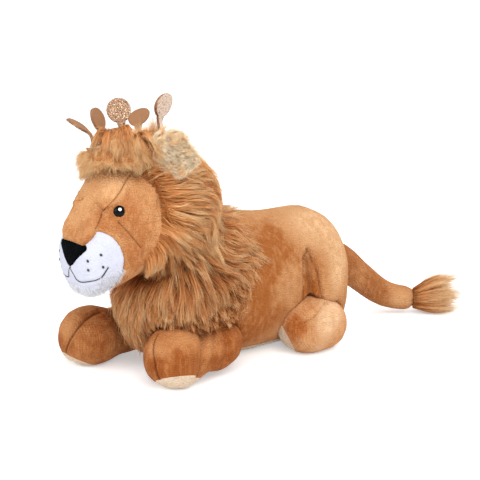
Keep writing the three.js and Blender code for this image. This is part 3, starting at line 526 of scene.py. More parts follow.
for side, flip, (shift_x, shift_y), pull, crease_depth, toe_seam, sole_plane in front_legs:
    def placed(rows):
        return [(x + shift_x, y + shift_y, *rest) for x, y, *rest in flip(rows)]

    node, under = f"front_leg_{side}", f"front_sole_{side}"
    leg = stuffed_skin(f"{node}_skin", [node, under], 1.1, 10, 0.7, paw_plush)
    places, centre = vertex_array(leg.data), np.array(placed([ankle])[0])
    share = pull * np.exp(-(((places[:, 1] - centre[1]) / ankle_spread) ** 2))
    write_vertices(leg.data, places + (centre - places) * [1, 0, 1] * share[:, None])
    press_seam(leg, toe_seam, 1.4, 1.7, 0.8, 0.8)
    for crease, width, depth, painted_shade in ankle_creases:
        press_seam(leg, placed(crease), width, depth * crease_depth, painted_shade, 0.5)
    brush_nap_and_light(leg, placed(paw_spots))
    sole = cut_skin(leg, f"{under}_skin", *sole_plane, cream_plush)
    finish_skin(leg, node, node)
    finish_skin(sole, node, under)

# %% Hind feet, cut the same way
foot_seam = [(50, 46, 41), (53.4, 38, 37.8), (54.6, 29, 32.5), (50.4, 20.5, 27.9), (45, 17, 25)]
# Patches on the foot, part brushed nap and part painted light and shade.
foot_spots = [(40, 22, 37, 10, -0.4), (46, 21, 25, 10, 1.2), (50, 30, 37, 7, 0.4), (61, 38, 28, 12, -1.3),
              (54, 50, 36, 11, -1.2), (52, 34, 8, 10, -0.8)]
sole_plane = [(39.8, 15.2, 17.2), (-0.42, -0.72, -0.42)]  # a point on it and the way it faces
for side, flip in zip(("left", "right"), both_sides):
    node, under = f"hind_foot_{side}", f"hind_sole_{side}"
    foot = stuffed_skin(f"{node}_skin", [node, under], 1.1, 10, 1.2, foot_plush)
    press_seam(foot, flip(foot_seam), 1.2, 1.1, 0.45, 0.9)
    brush_nap_and_light(foot, flip(foot_spots))
    sole = cut_skin(foot, f"{under}_skin", *flip(sole_plane), cream_plush)
    finish_skin(foot, node, node)
    finish_skin(sole, node, under)

# %% Tail
tail = stuffed_skin("tail_skin", ["tail"], 1.1, 10, 0.4, tail_plush)
press_seam(tail, [(14, 110, 50), (18, 130, 30), (26, 150, 16), (33, 166, 12)], 1.0, 0.5, 0.3, 0.1)
# Patches on the tail, part brushed nap and part painted light and shade.
brush_nap_and_light(tail, [(10, 100, 58, 16, 0.8), (19, 134, 27, 10, 1.3), (16, 117, 46, 8, -0.4), (25, 153, 15, 9, -0.9),
             (30, 163, 13, 8, -0.6)])
finish_skin(tail, "tail", "tail")

# %% [markdown]
# ## Head, muzzle and nose
# The face is sewn from brow, cheek and snout panels, so thin seams run between them. The muzzle is a
# white patch and the nose a velvet one, each let into the head.

# %% Head
head = stuffed_skin("head_skin", ["head"], 0.95, 10, 0.3, face_plush)
eye_corner = (17.4, -136, 135.2)
# Each seam: its line and the shade painted into its groove.
face_seams = [  # line, dark
    ([(18, -113.3, 156.7), (21.8, -124.3, 148.3), (20.6, -131.2, 140.7), eye_corner], 0.8),
    ([eye_corner, (17.4, -139.3, 128.7), (17.5, -142.9, 122.2)], 0.85),
    ([(8.5, -136.7, 139.5), eye_corner], 0.5),
    ([eye_corner, (20, -133.5, 137.2), (22.1, -131.5, 138.5)], 0.7),
    ([(27.9, -130.8, 127.9), (33.1, -124.7, 118.7), (35.8, -117.6, 108.8)], 0.7),
]
for flip in both_sides:
    for line, painted_shade in face_seams:
        press_seam(head, flip(line), 0.8, 0.9, painted_shade, 0.5)
    # The rim round each eye is raised and painted dark, as the shade of its sunken ring.
    eye_rim = mound(head, flip([(23.5, -128.5, 134)])[0], 5.6, 4)
    raise_skin(head, eye_rim, 0.5 * eye_rim)
    puff_out(head, flip([(12, -147, 119, 8, 2.2), (5, -139, 138, 9, -1.6)]))
# Patches on the face, part brushed nap and part painted light and shade; the pale spots on the brow paint light
# into the shade under the forelock.
spots = [(13, -121, 154, 11, -0.9), (17, -129, 147, 9, -0.5), (3, -137, 138, 10, -0.2),
         (27, -123, 128, 9, 0.45), (33, -118, 104, 10, 0.8), (19, -138, 129, 6, 0.35),
         (36, -112, 124, 9, 0.15), (4, -146, 124, 9, -0.2)]
brush_nap_and_light(head, spots + mirrored(spots))
finish_skin(head, "head", "head")

# %% Muzzle and nose
muzzle = stuffed_skin("muzzle_skin", ["muzzle"], 0.9, 8, 0.5, white_plush)
mouth = [(0, -152.4, 94), (3, -151.6, 89), (5.1, -150.8, 85.4), (10, -150, 84.4), (17.2, -148.1, 86.2),
         (23.4, -142.2, 89.8), (25.6, -138.5, 96)]
for flip in both_sides:
    puff_out(muzzle, flip([(18, -147, 117, 7, -2.2)]))
for flip in both_sides:
    press_seam(muzzle, flip(mouth), 0.9, 0.6, 0.4)
finish_skin(muzzle, "head", "muzzle")
nose = stuffed_skin("nose_velvet_pad", ["nose"], 0.6, 5, 0.25, black_velvet)
finish_skin(nose, "head", "nose")

# %% [markdown]
# ## Embroidered mouth and whisker dots
# The mouth is a line of satin stitches in dark thread, and each whisker dot is a few stitches side by
# side. A tube along the line would look moulded, so one small rounded stitch is copied along it.

# %% Stitches
thread, net, principled = plain_material("dark_thread")
twist = net.noise(net.place(), 3000, 2)
net.feed(principled, {"Base Color": net.mix(twist, linear(30, 27, 30), linear(62, 54, 52)), "Roughness": 0.6,
                      "Sheen Weight": 0.2})


def stitch_row(bm, line, lift, slant, length, radius):
    length, radius = length * MM, radius * MM
    line, normals = on_surface(muzzle, line, lift)
    for place, normal, along in zip(line, normals, np.gradient(line, axis=0)):
        n = Vector(normal)
        a = Vector(along).normalized()
        x = (a * math.cos(slant) + n.cross(a) * math.sin(slant)).normalized()
        form = Matrix((x * length / 2, n.cross(x) * radius, n * radius)).transposed().to_4x4()
        made = bmesh.ops.create_icosphere(bm, subdivisions=1, radius=1)["verts"]
        bmesh.ops.transform(bm, matrix=Matrix.Translation(Vector(place) * MM) @ form, verts=made)


whisker_dots = [(24.6, -143.3, 106), (17.7, -149.5, 101.3), (25, -142.2, 97.3), (17.9, -149.4, 94.9)]
bm = bmesh.new()
for flip in both_sides:
    stitch_row(bm, smooth_line(flip(mouth), 0.9), 0.15, 0.35, 1.7, 0.42)
    stitch_row(bm, smooth_line(flip(mouth[-2:]), 0.8), 0.25, 0.5, 1.9, 0.55)
    for x, y, z in flip(whisker_dots):
        stitch_row(bm, [(x, y, z + step) for step in (-0.55, 0, 0.55)], 0.2, 1.4, 2.3, 0.42)
dress(new_object("mouth_embroidery", bm), "head", thread)

# %% [markdown]
# ## Safety eyes
# Each eye is one turned plastic part: a polished dome, and a ribbed shank that goes through the face
# into a locking washer. A spun profile gives it in one piece. One round softbox lights the eyes
# alone and gives each its round highlight.

# %% Eyes
eye_gloss, net, principled = plain_material("eye_gloss")
haze = net.noise(net.place(), 900, 2)
net.feed(principled, {"Base Color": net.mix(haze, linear(4, 4, 6), linear(9, 8, 9)),
                      "Roughness": net.remap(haze, 0.3, 0.8, 0.02, 0.05), "Specular IOR Level": 0.12})
eyes_only = bpy.data.collections.new("eyes_only")
catch_light = softbox("catch_light", 60, 50, 0.6, 0.5, 130, (23, -130, 134))
catch_light.light_linking.receiver_collection = eyes_only
catch_light.visible_diffuse = False

eye_radius, dome_height = 4.5, 3.4
dome = [(eye_radius * math.sin(t), dome_height * math.cos(t)) for t in np.linspace(0, math.pi / 2, 13)]
skirt = [(eye_radius, -0.15), (4.38, -0.3), (1.75, -0.3)]
ribs = [(1.5 + 0.35 * math.sin(math.pi * t) ** 2, -0.6 - 8.0 * t / 6) for t in np.linspace(0, 6, 37)]
profile = [*dome, *skirt, *ribs, (1.2, -9), (0, -9)]  # (radius, height)
for side, outward in (("left", 42.6), ("right", -42.6)):
    axis = sight_axes(outward, 20)[2]
    places = vertex_array(nodes[f"eye_{side}"].data) * MM
    seat = Vector(places[(places @ np.array(axis)).argmax()]) - axis * dome_height * MM
    bm = bmesh.new()
    verts = [bm.verts.new((r * MM, 0, z * MM)) for r, z in profile]
    edges = [bm.edges.new(pair) for pair in zip(verts[:-1], verts[1:])]
    bmesh.ops.spin(bm, geom=verts + edges, cent=(0, 0, 0), axis=(0, 0, 1), steps=48, angle=2 * math.pi,
                   use_merge=True)
    bmesh.ops.remove_doubles(bm, verts=bm.verts, dist=0.004 * MM)
    bmesh.ops.recalc_face_normals(bm, faces=bm.faces)
    eye = new_object(f"eye_{side}_dome", bm)
    eye.data.transform(Matrix.Translation(seat) @ axis.to_track_quat("Z", "Y").to_matrix().to_4x4())
    dress(eye, "head", eye_gloss, f"eye_{side}")
    eyes_only.objects.link(eye)

# %% Locking washers
washer_nylon, net, principled = plain_material("washer_nylon")
grain = net.noise(net.place(), 1500, 3)
net.feed(principled, {"Base Color": net.mix(grain, linear(222, 221, 214), linear(198, 197, 190)),
                      "Roughness": net.remap(grain, 0.3, 0.7, 0.4, 0.55)})
for side in ("left", "right"):
    for slot in nodes[f"eye_washer_{side}"].material_slots:
        slot.material = washer_nylon
print("washers dressed")

# %% [markdown]
# ## Ears
# An ear is a dished oval: a tan back whose edge turns forward as a rim, and a cream lining inside.

# %% Ears
for side in ("left", "right"):
    for part, voxel, rounds, swell, material, slot in (("back", 0.7, 5, 0.2, tan_plush, "plush"),
                                                       ("lining", 0.6, 4, 0.15, ear_plush, "belly_plush")):
        node = f"ear_{part}_{side}"
        skin = stuffed_skin(f"{node}_skin", [node], voxel, rounds, swell, material)
        finish_skin(skin, f"ear_{side}", node)

# %% [markdown]
# ## Crown
# The crown is two layers of cloth: glitter outside, plain woven backing inside. Its band dips in
# scallops between five prongs, and each prong bends over its neck and ends in a flat round disc.
# A flat grid bent round the head gives each part, and Solidify gives the cloth its thickness.

# %% Glitter: small mirror flakes, each tilted its own way
glitter_group, net, given, result = new_group("Glitter", {
    "Flake": (0.7, 0.5, 0.3, 1), "Ground": (0.4, 0.25, 0.15, 1), "Flakes per Metre": 1700.0, "Tilt": 0.9,
    "Lit": (1, 0.95, 0.9, 1)}, ("Color", "Metallic", "Roughness", "Normal"))
# Flakes on the side that faces one way are painted lighter: a painted highlight.
lit_side = (0.88, 0.47, 0)
flakes = net.cells(net.place(), given["Flakes per Metre"])
normal = net.add("NewGeometry")["Normal"]
centred = net.vector("SUBTRACT", flakes["Color"], (0.5, 0.5, 0.5))[0]
tilted = net.add("VectorMath", {0: centred, "Scale": given["Tilt"]}, operation="SCALE")[0]
facing = net.add("VectorMath", {0: net.vector("ADD", tilted, normal)[0]}, operation="NORMALIZE")[0]
edge = net.remap(flakes["Distance"], 0.35, 0.6)
painted_highlight = net.remap(net.vector("DOT_PRODUCT", normal, lit_side)["Value"], 0.5, 0.95, 0.0, 0.6)
flecked = net.mix(edge, given["Flake"], given["Ground"])
shade = net.add("SeparateColor", {0: flakes["Color"]})[0]
net.feed(result, {"Color": net.mix(painted_highlight, flecked, given["Lit"]), "Normal": facing,
                  "Metallic": net.remap(edge, 0.0, 1.0, 0.95, 0.3),
                  "Roughness": net.remap(shade, 0.0, 1.0, 0.18, 0.5)})
# The lit colour is the painted highlight on that side.
glitter_cloth = group_material("glitter_cloth", glitter_group, {
    "Flake": linear(206, 172, 142), "Ground": linear(118, 80, 54), "Lit": linear(236, 216, 198)}, {})

crown_backing, net, principled = plain_material("crown_backing")
place = net.place()
dents = net.remap(net.cells(place, 1500, 0.3)["Distance"], 0.2, 0.7)
woven = net.mix(net.noise(place, 120, 3), linear(186, 136, 94), linear(160, 112, 74))
bump = net.add("Bump", {"Distance": 0.0002, "Height": dents}, invert=True)
net.feed(principled, {"Base Color": net.mix(net.times(dents, 0.35), woven, linear(128, 84, 52)),
                      "Normal": bump["Normal"], "Roughness": 0.85})
print("crown finishes made")

# %% Crown shape
band_radius, cloth, seam_gap = 26, 0.9, 0.3
scallop, peak, neck_width, neck_length, disc_radius = 15, 21, 4.6, 6, 8.5
prongs = [(-168, 6, -14), (-128, 46, 9), (-42, 4, 0), (28, 30, 12), (128, 45, 4)]  # place, lean, twist
crown_centre = np.array([-4, -94, 160.5])
crown_place = Matrix.Translation(Vector(crown_centre) * MM) @ Matrix.Rotation(math.radians(-17), 4, "Y")
prong_root = scallop / 2
neck_start = peak - prong_root
disc_centre = neck_start + neck_length + disc_radius


def band_top(degrees):
    starts = [p[0] for p in prongs]
    i = max((k for k, s in enumerate(starts) if s <= degrees), default=-1)
    before, after = starts[i], starts[(i + 1) % len(starts)]
    share = ((degrees - before) % 360) / ((after - before) % 360)
    return peak - (peak - scallop) * math.sqrt(max(0, 1 - (2 * share - 1) ** 2))


def prong_point(across, share, lean, twist):
    """A point of a prong: how far out from the band, along it and above the prong's root."""
    disc_start = disc_centre - disc_radius
    if share < 0.35:
        step = share / 0.35 * disc_start
    else:
        step = disc_centre - disc_radius * math.cos((share - 0.35) / 0.65 * math.pi * 0.985)
    width = math.sqrt(max(0, disc_radius**2 - (step - disc_centre) ** 2))
    if step < disc_centre:
        width = max(neck_width / 2, width) + 0.8 * math.exp(-(((step - disc_start) / 1.8) ** 2))
    past_root = max(step - neck_start, 0)
    on_neck = min(past_root, neck_length)
    on_disc = past_root - on_neck
    bent, turned = (math.radians(angle) * on_neck / neck_length for angle in (lean, twist))
    out = on_neck * math.sin(bent / 2) + on_disc * math.sin(bent)
    up = on_neck * math.cos(bent / 2) + on_disc * math.cos(bent)
    off = across * width * math.sin(turned) - 0.5 * (across * width / disc_radius) ** 2
    return (out + off * math.cos(bent), across * width * math.cos(turned),
            min(step, neck_start) + up - off * math.sin(bent))


def crown_layer(name, offset, material, node):
    radius = band_radius + offset
    bm = bmesh.new()
    bmesh.ops.create_grid(bm, x_segments=180, y_segments=10, size=1)
    for v in bm.verts:
        degrees = v.co.x * 180
        a = math.radians(degrees)
        top = band_top((degrees + 180) % 360 - 180)
        v.co = Vector((radius * math.cos(a), radius * math.sin(a), (v.co.y + 1) / 2 * top))
    for degrees, lean, twist in prongs:
        a = math.radians(degrees)
        for v in bmesh.ops.create_grid(bm, x_segments=14, y_segments=44, size=1)["verts"]:
            out, x, up = prong_point(v.co.x, (v.co.y + 1) / 2, lean, twist)
            r, sine, cosine = radius + out, math.sin(a), math.cos(a)
            v.co = Vector((r * cosine - x * sine, r * sine + x * cosine, prong_root + up))
    bmesh.ops.scale(bm, vec=(MM, MM, MM), verts=bm.verts)
    bmesh.ops.remove_doubles(bm, verts=bm.verts, dist=0.01 * MM)
    bmesh.ops.transform(bm, matrix=crown_place, verts=bm.verts)
    bmesh.ops.recalc_face_normals(bm, faces=bm.faces)
    obj = new_object(name, bm)
    wall = obj.modifiers.new("cloth", "SOLIDIFY")
    wall.thickness, wall.offset = cloth * MM, 0
    settle(obj)
    dress(obj, "head", material, node)


half_step = (cloth + seam_gap) / 2
crown_layer("crown_glitter_layer", half_step, glitter_cloth, "crown_glitter")
crown_layer("crown_backing_layer", -half_step, crown_backing, "crown_lining")

# %% [markdown]
# ## Long pile
# The mane, forelock, chest and tail tuft are long-pile cloth. A particle system would grow hair, but
# it doesn't leave as plain mesh, so each strand is a thin closed spike. Strands gather in locks:
# leading curves are combed over the form, and each strand follows the nearest one.

# %% One strand and its finish
def strand_form(rings):
    bm = bmesh.new()
    bmesh.ops.create_cone(bm, cap_ends=True, cap_tris=False, segments=3, radius1=1, radius2=0, depth=1)
    bmesh.ops.translate(bm, vec=(0, 0, 0.5), verts=bm.verts)
    for ring in range(1, rings):
        geometry = bm.verts[:] + bm.edges[:] + bm.faces[:]
        bmesh.ops.bisect_plane(bm, geom=geometry, plane_co=(0, 0, ring / rings), plane_no=(0, 0, 1))
    bmesh.ops.recalc_face_normals(bm, faces=bm.faces)
    bm.verts.index_update()
    share = np.array([v.co.z for v in bm.verts])
    turn = np.array([(v.co.x, v.co.y) for v in bm.verts])
    turn /= np.maximum(np.linalg.norm(turn, axis=1), 1e-6)[:, None]
    turn[share > 0.999] = 0
    faces = [[v.index for v in f.verts] for f in bm.faces]
    bm.free()
    return share, turn, faces


strand_forms = {rings: strand_form(rings) for rings in (2, 3, 4)}
print("triangles in a strand:", {k: sum(len(f) - 2 for f in v[2]) for k, v in strand_forms.items()})


# Each strand runs from a dark root to a light tip over the pile's own golden colour: the dark roots paint the
# shade between the locks, and the light tips paint their highlights.
def pile_material(name, root, middle, tip, sheen=0.12):
    material, net, principled = plain_material(name)
    tint = net.attribute("tint")
    shade = net.plus(net.attribute("along"), net.times(net.math("SUBTRACT", tint, 0.5), 0.8))
    colour = net.add("ValToRGB", {0: shade})[0]
    stops = colour.node.color_ramp
    stops.interpolation = "EASE"
    stops.elements[0].color, stops.elements[1].color = linear(*root), linear(*tip)
    stops.elements[1].position = 0.95
    stops.elements.new(0.42).color = linear(*middle)
    net.feed(principled, {
        "Base Color": colour, "Roughness": net.remap(tint, 0.0, 1.0, 0.5, 0.75), "Specular IOR Level": 0.25,
        "Sheen Weight": sheen, "Sheen Roughness": 0.4, "Sheen Tint": linear(*tip)})
    return material


# The ramp colours hold painted shade at the roots and painted highlights at the tips; the ear's cream pile is
# made extra light to paint in light for ears in shade.
mane_pile = pile_material("mane_pile", (178, 106, 50), (228, 158, 94), (252, 212, 158))
forelock_pile = pile_material("forelock_pile", (188, 116, 58), (230, 160, 98), (254, 214, 158))
chest_pile = pile_material("chest_pile", (150, 84, 36), (206, 134, 74), (244, 198, 144))
tuft_pile = pile_material("tuft_pile", (172, 104, 50), (232, 166, 104), (255, 218, 168))
cream_pile = pile_material("cream_pile", (255, 200, 142), (255, 222, 172), (255, 242, 218), 0.5)
chin_pile = pile_material("chin_pile", (244, 244, 250), (250, 250, 254), (254, 254, 255), 0.1)

# %% Combing helpers
lock_steps, open_distance = 8, 14  # strands grow only where nothing stands within the open distance


def unit(v):
    return v / np.maximum(np.linalg.norm(v, axis=-1, keepdims=True), 1e-9)


def ramp(v, low, high):
    t = np.clip((v - low) / (high - low), 0, 1)
    return t * t * (3 - 2 * t)


def laid(flow, normals, share=1.0):
    """The flow without what goes into or out of the form."""
    return flow - normals * (flow * normals).sum(1)[:, None] * share


def triangles_of(names):
    found = []
    for name in names:
        mesh = nodes[name].data
        mesh.calc_loop_triangles()
        index = np.empty(len(mesh.loop_triangles) * 3, np.int32)
        mesh.loop_triangles.foreach_get("vertices", index)
        found.append(vertex_array(mesh)[index.reshape(-1, 3)])
    return np.vstack(found)


def shape_tree(triangles):
    return BVHTree.FromPolygons(triangles.reshape(-1, 3).tolist(),
                                np.arange(len(triangles) * 3).reshape(-1, 3).tolist())


def rounded_tree(names, voxel, rounds, swell):
    """A smooth envelope over several solids, to comb hair along. It isn't kept as a piece."""
    form = stuffed_skin("comb_form", names, voxel, rounds, swell, undercoat_cloth)
    mesh = form.data
    mesh.transform(Matrix.Scale(1 / MM, 4))
    tree = BVHTree.FromObject(form, bpy.context.evaluated_depsgraph_get())
    bpy.data.objects.remove(form)
    bpy.data.meshes.remove(mesh)
    return tree


everything = shape_tree(triangles_of([n for n in nodes if not n.startswith(("eye_washer", "crown"))]))
mane_envelope = rounded_tree(["head", "mane", "mane_chest", "torso"], 3.0, 12, 0.8)


def scatter(triangles, where, count, rng):
    """Random points on the open outside of the form, where the rule allows them."""
    edge_a, edge_b = triangles[:, 1] - triangles[:, 0], triangles[:, 2] - triangles[:, 0]
    cross = np.cross(edge_a, edge_b)
    area = np.linalg.norm(cross, axis=1)
    facing = unit(cross)
    places, normals, total = [], [], 0
    for _ in range(40):
        pick = rng.choice(len(triangles), count, p=area / area.sum())
        u, v = rng.random((2, count))
        swap = u + v > 1
        u, v = np.where(swap, 1 - u, u), np.where(swap, 1 - v, v)
        p = triangles[pick, 0] + u[:, None] * edge_a[pick] + v[:, None] * edge_b[pick]
        n = facing[pick]
        ok = where(p, n)
        p, n = p[ok], n[ok]
        free = [everything.ray_cast(Vector(a + b * 0.4), Vector(b), open_distance)[0] is None
                for a, b in zip(p, n)]
        places.append(p[free])
        normals.append(n[free])
        total += sum(free)
        if total >= count:
            break
    return np.vstack(places)[:count], np.vstack(normals)[:count]


def combed_locks(tree, lead, facing, flow, length, depth, loft, swirl, rng):
    """The leading curve of each lock: up out of the form, then along it with the flow."""
    length = length(lead) if callable(length) else length
    stride = (length * rng.uniform(0.7, 1.2, len(lead)) / lock_steps)[:, None]
    place = lead - facing * depth
    curve = [place]
    heading = unit(flow(lead, facing) + facing * 0.5)
    top = rng.uniform(*loft, len(lead))
    wave = rng.uniform(-1, 1, len(lead)) * 0.5
    for step in range(lock_steps):
        place = place + heading * stride
        near, normal = nearest(tree, place)
        height = ((place - near) * normal).sum(1)
        share = (step + 1) / lock_steps
        goal = -depth + (depth + top) * min(1, share / 0.4) - 1.2 * max(0, share - 0.7)
        place = place + normal * np.clip(0.7 * (goal - height), -1.6, 1.6)[:, None]
        gust = np.array([noise.noise_vector(Vector(p) / 24) for p in place]) * swirl
        gust += np.cross(normal, heading) * (wave * math.sin(step * 1.1))[:, None] * swirl
        wish = laid(flow(place, normal) + gust, normal, 0.8)
        heading = unit(heading * 0.55 + unit(wish) * 0.45)
        curve.append(place)
    return np.stack(curve, 1)


def follow_locks(name, curves, lead, roots, normals, width, depth, gather, sway, rng, rings=4):
    """Strands that start at their own roots and gather towards the nearest leading curve."""
    finder = KDTree(len(lead))
    for i, p in enumerate(lead):
        finder.insert(Vector(p), i)
    finder.balance()
    own = np.array([finder.find(Vector(p))[1] for p in roots])
    reach = rng.uniform(0.7, 1.0, len(roots)) * lock_steps
    shares = np.linspace(0, 1, rings + 1)
    at = reach[:, None] * shares[None, :]
    low = np.minimum(at.astype(int), lock_steps - 1)
    part = (at - low)[..., None]
    path = curves[own[:, None], low] * (1 - part) + curves[own[:, None], low + 1] * part
    start = roots - normals * (depth * rng.uniform(0.5, 1.1, (len(roots), 1)))
    shift = start - curves[own, 0]
    loose = rng.random(len(roots)) < 0.14
    pull = np.where(loose, 0.05, gather * rng.uniform(0.6, 1.1, len(roots)))
    hold = 1 - np.clip(pull, 0, 1)[:, None] * shares[None, :] ** 1.1
    path = path + shift[:, None, :] * hold[..., None]
    drift = np.clip(rng.normal(0, 1, (len(roots), 3)), -2, 2) * (np.where(loose, 3.6, 1.0) * sway)[:, None]
    path = path + drift[:, None, :] * (shares[None, :, None] ** 1.6)
    path[..., 2] = np.maximum(path[..., 2], 0.4)
    tint = np.clip(rng.normal(0.5, 0.2, len(lead))[own] + rng.normal(0, 0.17, len(roots)), 0, 1)
    thick = width * rng.uniform(0.7, 1.25, len(roots)) * np.where(loose, 0.7, 1)
    return strand_mesh(name, path, normals, thick, tint, rings)


def strand_mesh(name, path, normals, thick, tint, rings):
    strand_share, strand_round, strand_faces = strand_forms[rings]
    ahead = unit(np.gradient(path, axis=1))
    across = unit(np.cross(ahead, normals[:, None, :]))
    upward = np.cross(across, ahead)
    ring = np.rint(strand_share * rings).astype(int)
    body = (1 - 0.15 * strand_share) * np.sqrt(np.clip(1 - strand_share, 0, 1))
    body *= np.where(strand_share < 0.01, 0.8, 1)
    turn_x, turn_y = strand_round.T[:, None, :, None]
    swing = turn_x * across[:, ring] + turn_y * upward[:, ring]
    places = path[:, ring] + swing * (thick[:, None] * body[None, :])[..., None]
    count, points = places.shape[:2]
    sizes = np.array([len(f) for f in strand_faces])
    index = (np.concatenate(strand_faces)[None, :] + np.arange(count)[:, None] * points).ravel()
    starts = (np.cumsum(np.tile(sizes, count)) - np.tile(sizes, count)).astype(np.int32)
    mesh = bpy.data.meshes.new(name)
    mesh.vertices.add(count * points)
    mesh.loops.add(len(index))
    mesh.polygons.add(len(starts))
    mesh.vertices.foreach_set("co", (places * MM).astype(np.float32).ravel())
    mesh.loops.foreach_set("vertex_index", index.astype(np.int32))
    mesh.polygons.foreach_set("loop_start", starts)
    mesh.update(calc_edges=True)
    for label, values in (("along", np.tile(strand_share, count)), ("tint", np.repeat(tint, points))):
        mesh.attributes.new(label, "FLOAT", "POINT").data.foreach_set("value", values.astype(np.float32))
    obj = bpy.data.objects.new(name, mesh)
    scene.collection.objects.link(obj)
    print(name, "strands:", count, "triangles:", count * int((sizes - 2).sum()))
    return obj


def thicket(name, sources, where, flow, count, locks, length, width, depth, loft, swirl, gather, seed,
            over=None, sway=0.9, rings=4):
    """Strands over the open outside of some solids, as one mesh."""
    rng = np.random.default_rng(seed)
    noise.seed_set(seed)
    triangles = triangles_of(sources)
    lead, facing = scatter(triangles, where, locks, rng)
    curves = combed_locks(over or shape_tree(triangles), lead, facing, flow, length, depth, loft, swirl, rng)
    roots, normals = scatter(triangles, where, count, rng)
    return follow_locks(name, curves, lead, roots, normals, width, depth, gather, sway, rng, rings)


# %% [markdown]
# ## Undercoats
# Under the strands lies the backing cloth. It is the same form a few millimetres smaller, in the
# dark colour of the roots, which paints the shade between the locks so that no gap shows there.

# %% Undercoats
tuft_centre = np.array([26.5, 169.5, 12.5])
for name, body, sink, stretch, shift in (
        ("mane", "head", -4.0, 1, 0), ("mane_chest", "torso", -3.6, 1, 0),
        ("forelock", "head", -8.0, [1, 1, 0.6], [0, 5, 67]),
        ("tail_tuft", "tail", -6.0, 0.55, tuft_centre * 0.45)):
    coat = stuffed_skin(f"{name}_undercoat", [name], 1.6, 8, sink, undercoat_cloth)
    write_vertices(coat.data, vertex_array(coat.data) * stretch + shift)
    finish_skin(coat, body, name)

# %% [markdown]
# ## Mane
# On the head the hair leaves the face seam and flows back, and further down it droops over the chest.
# The face seam gets its own rows of roots, because the hair starts there in one crisp line.

# %% Mane
def mane_flow(p, n):
    back = ramp(p[:, 2], 84, 150)
    rear = ramp(p[:, 1], -75, -45)
    crest = ramp(p[:, 2], 160, 172)
    x = np.sign(p[:, 0]) * (0.10 + 0.35 * crest)
    y = 0.30 + 0.9 * back - 0.5 * rear
    z = -1.0 + 0.75 * back - 0.45 * rear + 0.15 * crest
    return unit(laid(np.stack([x, y, z], 1), n))


def open_mane(p, n):
    """Not under the crown and not on the flat front of the mane."""
    column = ((p - crown_centre)[:, :2] ** 2).sum(1) < 24**2
    return ~(column & (p[:, 2] > 158)) & (n[:, 1] > -0.93)


for part, where, count, seed, rings in (
        ("left", lambda p, n: open_mane(p, n) & (p[:, 0] > 6) & (p[:, 1] < -52), 6200, 11, 4),
        ("right", lambda p, n: open_mane(p, n) & (p[:, 0] < -6) & (p[:, 1] < -52), 4600, 12, 3),
        ("back", lambda p, n: open_mane(p, n) & ((abs(p[:, 0]) <= 6) | (p[:, 1] >= -52)), 4600, 13, 3)):
    pile = thicket(f"mane_pile_{part}", ["mane"], where, mane_flow, count, 300, 42, 0.26, 4.4, (-1.5, 4.2),
                   1.05, 0.85, seed, mane_envelope, rings=rings)
    dress(pile, "head", mane_pile)

# %% Rows of hair along the face seam
face_ring = [(0, -114, 160.4), (13.1, -112.8, 158.7), (20, -108.5, 156.4), (26.2, -105.3, 152.7),
             (31.4, -103.3, 147.7), (35.1, -101.8, 142.4), (38.1, -102.5, 134.5), (39.3, -103.5, 126.4),
             (39.3, -105.4, 118.1), (38.1, -108.1, 111.2), (36.4, -110.4, 106.2), (34.1, -114, 101.3)]
skull_tree = shape_tree(triangles_of(["head", "mane"]))


def ring_length(lead):
    return 20 + 18 * ramp(lead[:, 2], 90, 115)


def behind_line(line, count, rng):
    """Random points on the skull in a band 7 wide behind a line."""
    line = smooth_line(line, 1.0)
    p = line[rng.integers(0, len(line), count)] + rng.normal(0, 0.5, (count, 3))
    return nearest(skull_tree, p + np.array([0, 1, 0]) * (7 * rng.random(count) ** 1.3)[:, None])


for side, flip, seed, rings in (("left", list, 51, 4), ("right", mirrored, 52, 3)):
    rng = np.random.default_rng(seed)
    noise.seed_set(seed)
    lead, facing = behind_line(flip(face_ring), 190, rng)
    curves = combed_locks(mane_envelope, lead, facing, mane_flow, ring_length, 1.2, (0.6, 4.8), 1.0, rng)
    roots, normals = behind_line(flip(face_ring), 4400, rng)
    pile = follow_locks(f"face_ring_pile_{side}", curves, lead, roots, normals, 0.24, 1.0, 0.7, 0.9, rng,
                        rings)
    dress(pile, "head", mane_pile)

# %% [markdown]
# ## Forelock and the hair round the crown
# This hair springs from the foot of the crown, rises a little and falls outwards over the brow.
# Combing over a form would flatten it, so its leading curves are arcs that are set by their two ends.

# %% Hair that falls outwards round the crown
def arcs(start, middle, end):
    t = np.linspace(0, 1, lock_steps + 1)[None, :, None]
    return start[:, None] * (1 - t) ** 2 + 2 * middle[:, None] * t * (1 - t) + end[:, None] * t**2


def lifted_off(tree, curves, clear):
    """Curves pushed out of a form that they would pass through."""
    flat = curves.reshape(-1, 3)
    for i, p in enumerate(flat):
        near, normal, _, _ = tree.find_nearest(Vector(p))
        height = (Vector(p) - near).dot(normal)
        if height < clear and (Vector(p) - near).length < 14:
            flat[i] = np.array(Vector(p) + normal * (clear - height))
    return flat.reshape(curves.shape)


def to_crown(points):
    """From the crown's own frame to the toy's."""
    flat = np.concatenate([points.reshape(-1, 3) * MM, np.ones((points.size // 3, 1))], 1)
    return ((flat @ np.array(crown_place).T)[:, :3] / MM).reshape(points.shape)


head_tree = shape_tree(triangles_of(["head", "muzzle"]))


